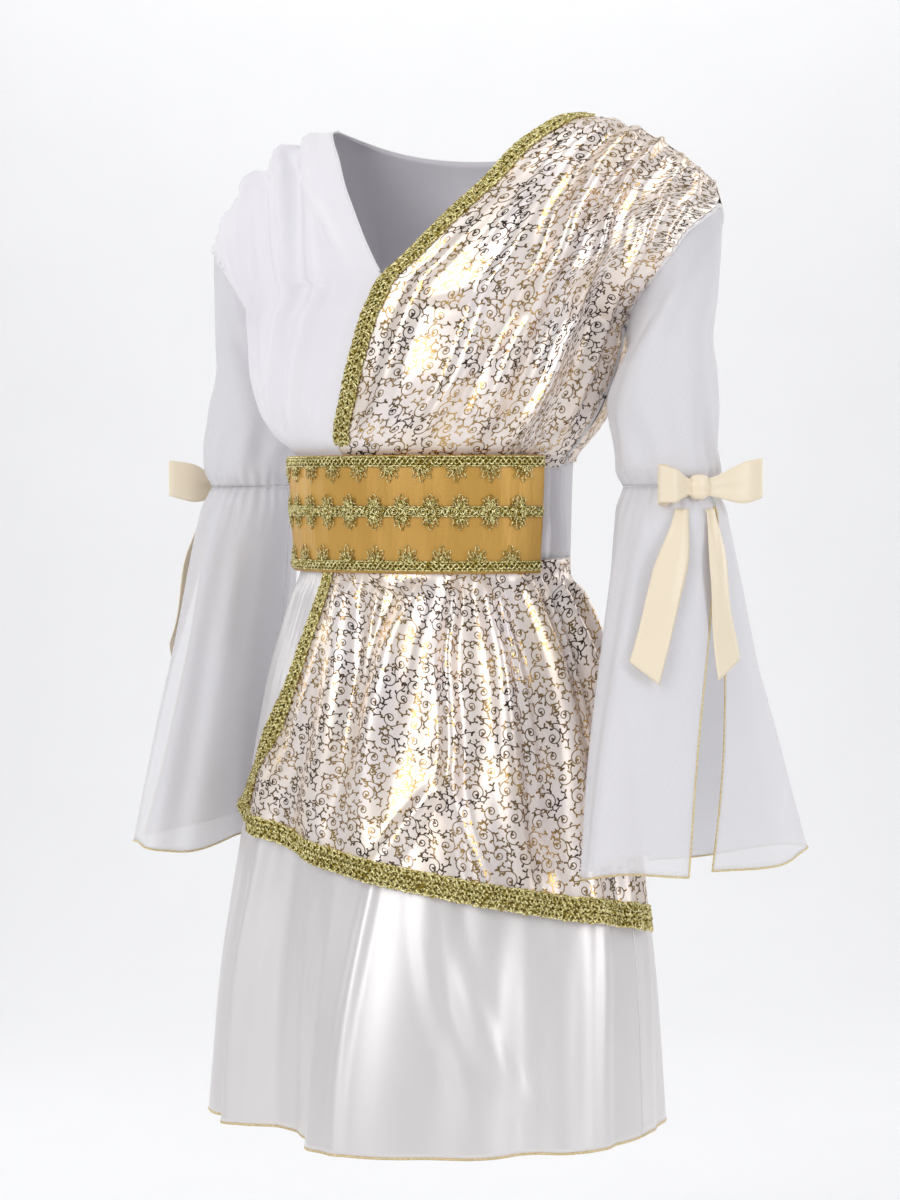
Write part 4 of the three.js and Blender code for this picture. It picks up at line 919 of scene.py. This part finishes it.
beltTurns = np.linspace(-beltLook["reach"], beltLook["reach"], 600)
beltRim = beltPoint(beltTurns, beltLook["low"], beltLook["inner"] + beltLook["thick"])
beltLengths = np.concatenate([[0], np.cumsum(np.linalg.norm(np.diff(beltRim, axis=0), axis=-1))])


# A place on the belt's face, by length along it, height and distance off it.
def onBelt(length, z, off):
    turn = np.interp(length, beltLengths, beltTurns)
    return beltPoint(turn, z, beltLook["inner"] + beltLook["thick"] + off)


# Closed petals of wire that radiate from the foot of each fan.
def fanPetals(centres, foot, height, sign):
    t = np.linspace(0, 2 * np.pi, 14, endpoint=False)
    parts = []
    petals = ((-68, 0.62, 1.5, 0.7), (-36, 0.86, 1.7, 1.0), (0, 1.0, 1.9, 0.8), (36, 0.86, 1.7, 1.0),
              (68, 0.62, 1.5, 0.7), (-18, 0.6, 1.3, 1.6), (18, 0.6, 1.3, 1.6), (-52, 0.5, 1.2, 1.5),
              (52, 0.5, 1.2, 1.5))
    for lean, reach, breadth, off in petals:
        x = breadth * np.sin(t) * (0.45 + 0.55 * np.sin(t / 2))
        y = reach * height * (1 - np.cos(t)) / 2
        c, s = np.cos(np.radians(lean)), np.sin(np.radians(lean))
        across, up = x * c + y * s, (y * c - x * s)
        twist = off + 0.3 * np.sin(t * 2)[None]
        path = onBelt(centres[:, None] + across[None], foot + sign * up[None], twist)
        parts.append(cord(path, 0.44, 4, ringed=True))
    return parts


# One row of belt trim: two crossing wavy cords between straight edges, with fans and rings of wire.
def beltTrim(name, low, high, pitch, up, down, node, rings):
    length = beltLengths[-1]
    fans = int((length - 2) // pitch)
    start = (length - fans * pitch) / 2
    centres = start + (np.arange(fans) + 0.5) * pitch
    parts = []
    s = np.linspace(1.0, length - 1.0, 420)
    half = (high - low) / 2
    mid = (high + low) / 2
    for phase in (0, np.pi):
        swing = s * 2 * np.pi / 8 + phase
        path = onBelt(s, mid + half * 0.5 * np.sin(swing), 1.2 + 0.35 * np.cos(swing))
        parts.append(cord(path, 0.7, 5))
    for edge in (low + 0.7, high - 0.7):
        parts.append(cord(onBelt(s, edge + 0.25 * np.sin(s * 4), 0.9), 0.65 * (1 + 0.2 * np.sin(s * 5)), 5))
    if rings:
        t = np.linspace(0, 2 * np.pi, 18, endpoint=False)
        at = np.arange(start + pitch / 4, length - 3, pitch / 2)
        for size, off in ((4.2, 1.5), (2.6, 1.7), (1.2, 1.9)):
            path = onBelt(at[:, None] + size * np.cos(t)[None], mid + size * 0.85 * np.sin(t)[None], off)
            parts.append(cord(path, 0.55, 4, ringed=True))
    if down:
        parts += fanPetals(centres, low + 0.8, down, -1)
    if up:
        parts += fanPetals(centres, high - 0.8, up, 1)
    # Painted shade: a dark sheet under the trim darkens the gaps between its wires.
    zs, ls = np.meshgrid(np.linspace(low, high, 3), np.linspace(0.6, length - 0.6, 120), indexing="ij")
    shadeSheet = onBelt(ls, zs, 0.3)
    trimPiece(name + "Ground", [(shadeSheet, gridFaces(*shadeSheet.shape[:2]))], gimpShade)
    return trimPiece(name, parts, gimpGold, [node])


beltTrim("beltTrimTop", -254.5, -246.6, 24, 0, 12, "belt_trim_top", False)
beltTrim("beltTrimMiddle", -290.5, -282.5, 21, 9, 10, "belt_trim_middle", True)
beltTrim("beltTrimBottom", -329.5, -322.0, 25, 12, 0, "belt_trim_bottom", False)
print("stage: belt ready")

sleeveThick = 0.4


# Upper sleeve: each column runs from the armhole's edge down to the elbow's ellipse.
def upperSleeve(side, rows=56, columns=104):
    arm = "left" if side > 0 else "right"
    hole = armholeLeft if side > 0 else armholeRight
    table = sleeves[arm]
    turn = np.linspace(-90, 270, columns, endpoint=False)[None, :]
    down = np.linspace(1, 0, rows)[:, None]
    share = np.where(turn <= 90, (turn + 90) / 180, (270 - turn) / 180)
    level = mix(0.54, 0.92, share)
    cut = np.where(np.abs(turn - 90) < 1e-6, 90, curve(hole['level'], hole['turn'], level))
    rim = torsoPoint(side * np.where(turn <= 90, cut, 180 - cut), level)
    rim[..., 0] *= side
    rim = rim + np.array([0.87, 0, -0.5]) * (2.0 if side > 0 else 1.2)
    z = mix(rim[..., 2], elbowHeight, down)
    read = {key: curve(table['z'], table[key], z) for key in table if key != 'z'}
    angle = np.radians(turn)
    gather = (gathers(turn / 360, 26, 0.6) - 1.6) * soften((down - 0.86) / 0.14)
    puff = 2.2 * np.sin(angle * 5 + 4 * down) * soften(down * 4) * soften((1 - down) * 6)
    wrinkle = 1.3 * np.sin(angle * 9 - 9 * down) * soften((down - 0.55) / 0.3) * soften((1 - down) * 8)
    swell = puff + wrinkle + 1.1 * gather
    x = read['midX'] + (read['across'] + swell) * np.sin(angle)
    y = read['midY'] - (read['along'] + swell) * np.cos(angle)
    free = soften(down / 0.5)
    grid = np.stack([mix(rim[..., 0], x, free), mix(rim[..., 1], y, free), z], -1)
    return grid if side > 0 else grid[:, ::-1] * [-1, 1, 1]


# Bell sleeve: a tilted ellipse for each level, open along the outer arm, with waves towards the hem.
def bellPoint(arm, turn, level, out=0.0, fine=1.0):
    table = bells[arm]
    read = {key: curve(table['level'], table[key], level) for key in table if key != 'level'}
    tilt, angle = np.radians(read['tilt']), np.radians(turn)
    wave = 4 * (1 - level) * np.sin(7 * angle + 0.6)
    gather = (gathers(turn / 360, 26, 0.6) - 2) * soften((level - 0.84) / 0.16)
    soft = 1.8 * np.sin(angle * 11 + 1.2) * soften((1 - level) * 3) * (0.5 + 0.5 * level)
    wave = wave + fine * (1.1 * gather + soft)
    across = (read['across'] + wave * 0.5 + out) * np.sin(angle)
    along = (read['along'] + wave + out) * np.cos(angle)
    x = read['midX'] + across * np.cos(tilt) - along * np.sin(tilt)
    y = read['midY'] - across * np.sin(tilt) - along * np.cos(tilt)
    return np.stack([x, y, read['z'] + 0 * x], -1)


# One panel of a bell sleeve, from the inner seam to the split, with a hem that dips and rises.
def bellPanel(side, front, rows=52, columns=80):
    arm = "left" if side > 0 else "right"
    level, share = np.meshgrid(np.linspace(0, 1, rows), np.linspace(0, 1, columns), indexing="ij")
    seam = mix(0.15, 0.4, level)
    low = -90 + seam if front else curve(bellOpening['level'], bellOpening['back'], level)
    high = curve(bellOpening['level'], bellOpening['front'], level) if front else 270 - seam
    grid = bellPoint(arm, mix(low, high, share), level)
    grid[..., 2] += 3.0 * np.sin(share * 9 + (1 if front else 3)) * (1 - soften(level * 5))
    return grid if side > 0 else grid[:, ::-1] * [-1, 1, 1]


for side, arm in ((1, "left"), (-1, "right")):
    piece = clothSheet("sleeveUpper" + arm.title(), upperSleeve(side), sleeveChiffon, sleeveThick,
                       ["sleeve_upper_" + arm], closed=True)
    elbow = cord(upperSleeve(side)[-1] + [0, 0, 0.2], 1.5, 6, ringed=True)
    trimPiece("elbowGather" + arm.title(), [elbow], rolledEdge)
    threads = []
    for front, label, breadth, area in ((True, "front", 0.24, 0.054), (False, "back", 0.31, 0.066)):
        grid = bellPanel(side, front)
        name = f"sleeveBell{label.title()}{arm.title()}"
        piece = clothSheet(name, grid, sleeveChiffon, sleeveThick,
                           [f"sleeve_bell_{label}_{arm}"])
        split = grid[:, -1] if front == (side > 0) else grid[:, 0]
        threads += [cord(grid[0] + [0, 0, 0.5], 0.7), cord(split[:-3], 0.65)]
    trimPiece("sleeveThread" + arm.title(), threads, hemGold)
print("stage: sleeves ready")

bowLook = dict(
    left=dict(toward=(0.825, -0.565), big=1, seat=8.1, tails=(40, 72)),
    right=dict(toward=(0.88, 0.475), big=-1, seat=7.1, tails=(88, 122)),
    height=-269.0, knot=(5, 8, 9), thick=12, tall=27, ribbon=0.5,
    length={"large": 46, "small": 26}, lift={"large": 7, "small": 2},
)


# A place in a bow's own directions: out from the arm, along it to the rear, and up.
def bowPlace(arm, out, along, up):
    bow, table = bowLook[arm], sleeves[arm]
    reach = table['across'][0] + bow["seat"] + out
    x = table['midX'][0] + bow["toward"][0] * reach - bow["toward"][1] * along
    y = table['midY'][0] + bow["toward"][1] * reach + bow["toward"][0] * along
    return np.stack([x, y, up + bowLook["height"] + 0 * x], -1)


# One loop of ribbon: out from the knot, round its tip and back, pinched and creased at the knot.
def bowLoop(arm, size):
    direction = bowLook[arm]["big"] * (1 if size == "large" else -1)
    length = bowLook["length"][size]
    edge, turn = np.meshgrid(np.linspace(-0.5, 0.5, 13), np.linspace(0, 360, 70), indexing="ij")
    reach = (1 - np.cos(np.radians(turn))) / 2
    fullness = mix(0.3, 1, soften(reach * 1.4))
    crease = 0.9 * np.sin(edge * 16) * (1 - reach) ** 2 * np.sin(np.radians(turn))
    side = np.sin(np.radians(turn)) * bowLook["thick"] / 2 * fullness + 1.3 * (1 - turn / 180) + crease
    tall = bowLook["tall"] * mix(0.45, 1, soften(reach * 1.5))
    return bowPlace(arm, direction * side, direction * (bowLook["knot"][1] - 0.6 + length * reach),
                    edge * tall + bowLook["lift"][size] * reach ** 1.5 + 3 * np.sin(np.radians(turn)) * edge)


# The knot: a rounded upright barrel round the ribbons.
def bowKnot(arm):
    out, along, up = bowLook["knot"]
    circle = np.linspace(0, 2 * np.pi, 48, endpoint=False)
    rise, turn = np.meshgrid(np.linspace(-1, 1, 22), circle, indexing="ij")
    size = np.sqrt(np.maximum(0, 1 - 0.86 * rise ** 4)) * (1 + 0.04 * np.sin(rise * 9 + 1))
    return bowPlace(arm, out * size * np.cos(turn), along * size * np.sin(turn), up * rise)


# A tail: hangs down the bell from under the knot, widens, curls a little and ends in a slant.
def bowTail(arm, turn, drift, slant):
    down, side = np.meshgrid(np.linspace(1, 0, 48), np.linspace(-0.5, 0.5, 11), indexing="ij")
    length = 112 + slant * side * soften((down - 0.6) / 0.4)
    level = 0.935 - length / bellDrop * down
    wide = 24 * mix(0.45, 0.95, soften(down * 2.5))
    centre = turn + drift * down
    onward = bellPoint(arm, centre + 1, level, 0, 0) - bellPoint(arm, centre, level, 0, 0)
    step = np.linalg.norm(onward, axis=-1)
    curl = 1.4 * np.sin(down * 7 + side * 2) * soften(down * 3) + 1.2 * np.sin(side * 9) * (1 - down) ** 2
    off = 1.3 + 3.5 * soften(down * 2) + curl + 0.8 * soften(down * 6)
    return bellPoint(arm, centre + side * wide / step, level, off, 0)


for arm, side in (("left", 1), ("right", -1)):
    def place(grid):
        return grid if side > 0 else grid[:, ::-1] * [-1, 1, 1]
    knot = clothSheet("bowKnot" + arm.title(), place(bowKnot(arm)), bowSatin, bowLook["ribbon"],
                      ["bow_knot_" + arm], closed=True)
    for size, flat in (("large", (0.024, 0.1)), ("small", (0.024, 0.06))):
        loop = clothSheet(f"bowLoop{size.title()}{arm.title()}", place(bowLoop(arm, size)), bowSatin,
                          bowLook["ribbon"], [f"bow_loop_{size}_{arm}"])
    front, rear = bowLook[arm]["tails"]
    for label, turn, drift, slant in (("front", front, -14, 16), ("back", rear, 12, -14)):
        tail = clothSheet(f"bowTail{label.title()}{arm.title()}", place(bowTail(arm, turn, drift, slant)),
                          bowSatin, bowLook["ribbon"], [f"bow_tail_{label}_{arm}"])
print("stage: bows ready")


def aim(thing, place, target):
    thing.location = place
    thing.rotation_euler = (Vector(target) - Vector(place)).to_track_quat("-Z", "Y").to_euler()


view = dict(turn=28.0, distance=2.2, height=-0.271, tilt=2.14, lens=88.44, aside=0.003)
cameraData = bpy.data.cameras.new("camera")
camera = bpy.data.objects.new("camera", cameraData)
bpy.context.scene.collection.objects.link(camera)
bpy.context.scene.camera = camera
cameraData.lens = view["lens"]
cameraData.sensor_width = 36
bearing = math.radians(view["turn"])
toSide = np.array([math.cos(bearing), math.sin(bearing)])
toBack = np.array([-math.sin(bearing), math.cos(bearing)])
stand = -toBack * view["distance"]
aimHeight = view["height"] - view["distance"] * math.tan(math.radians(view["tilt"]))
aim(camera, (*stand, view["height"]), (*(toSide * view["aside"]), aimHeight))


# A soft light, placed by metres to the camera's right, metres behind the dress, and height.
def softLight(name, right, behind, height, size, power, target=(0, 0, -0.38)):
    data = bpy.data.lights.new(name, "AREA")
    data.shape = "RECTANGLE"
    data.size, data.size_y = size
    data.energy = power
    lamp = bpy.data.objects.new(name, data)
    bpy.context.scene.collection.objects.link(lamp)
    aim(lamp, (*(toSide * right + toBack * behind), height), target)


softLight("frontLeft", -1.3, -1.8, 0.6, (0.9, 1.5), 23)
softLight("frontRight", 1.9, -1.2, 0.2, (0.6, 1.5), 15)
softLight("overhead", 0.1, -0.2, 1.6, (1.4, 0.8), 8)
softLight("backLeft", -1.7, 1.2, 0.4, (1.2, 1.6), 10)
softLight("backRight", 1.8, 1.2, 0.4, (1.2, 1.6), 10)

softLight("backdrop", 0, 1.9, 1.9, (3.0, 0.8), 28, (*(toBack * 3.4), 0.2))

world = bpy.data.worlds.new("studio")
bpy.context.scene.world = world
world.use_nodes = True
world.node_tree.nodes["Background"].inputs[0].default_value = (0.97, 0.975, 1, 1)
world.node_tree.nodes["Background"].inputs[1].default_value = 0.39
bpy.context.scene.view_settings.view_transform = "Standard"


# Floor that curves up behind the dress.
def studioFloor():
    bend = np.linspace(0, np.pi / 2, 20)
    behind = np.concatenate([np.linspace(-6, 2.2, 30), 2.2 + 1.2 * np.sin(bend), np.full(8, 3.4)])
    high = np.concatenate([np.zeros(30), 1.2 - 1.2 * np.cos(bend), np.linspace(1.5, 6, 8)]) - 1.06
    across, step = np.meshgrid(np.linspace(-7, 7, 12), np.arange(len(behind)))
    plan = across[..., None] * toSide + behind[step][..., None] * toBack
    points = np.concatenate([plan, high[step][..., None]], -1) / mm
    paper = Finish("studio paper", Roughness=0.9)
    mottle = paper.noise((6, 6, 6), 2, uv=False)
    paper.set("Base_Color", paper.blend(mottle, (0.93, 0.93, 0.935), (0.96, 0.96, 0.965)))
    meshObject("studioFloor", points, gridFaces(*step.shape), paper.material)


studioFloor()
print("stage: camera and lights ready")
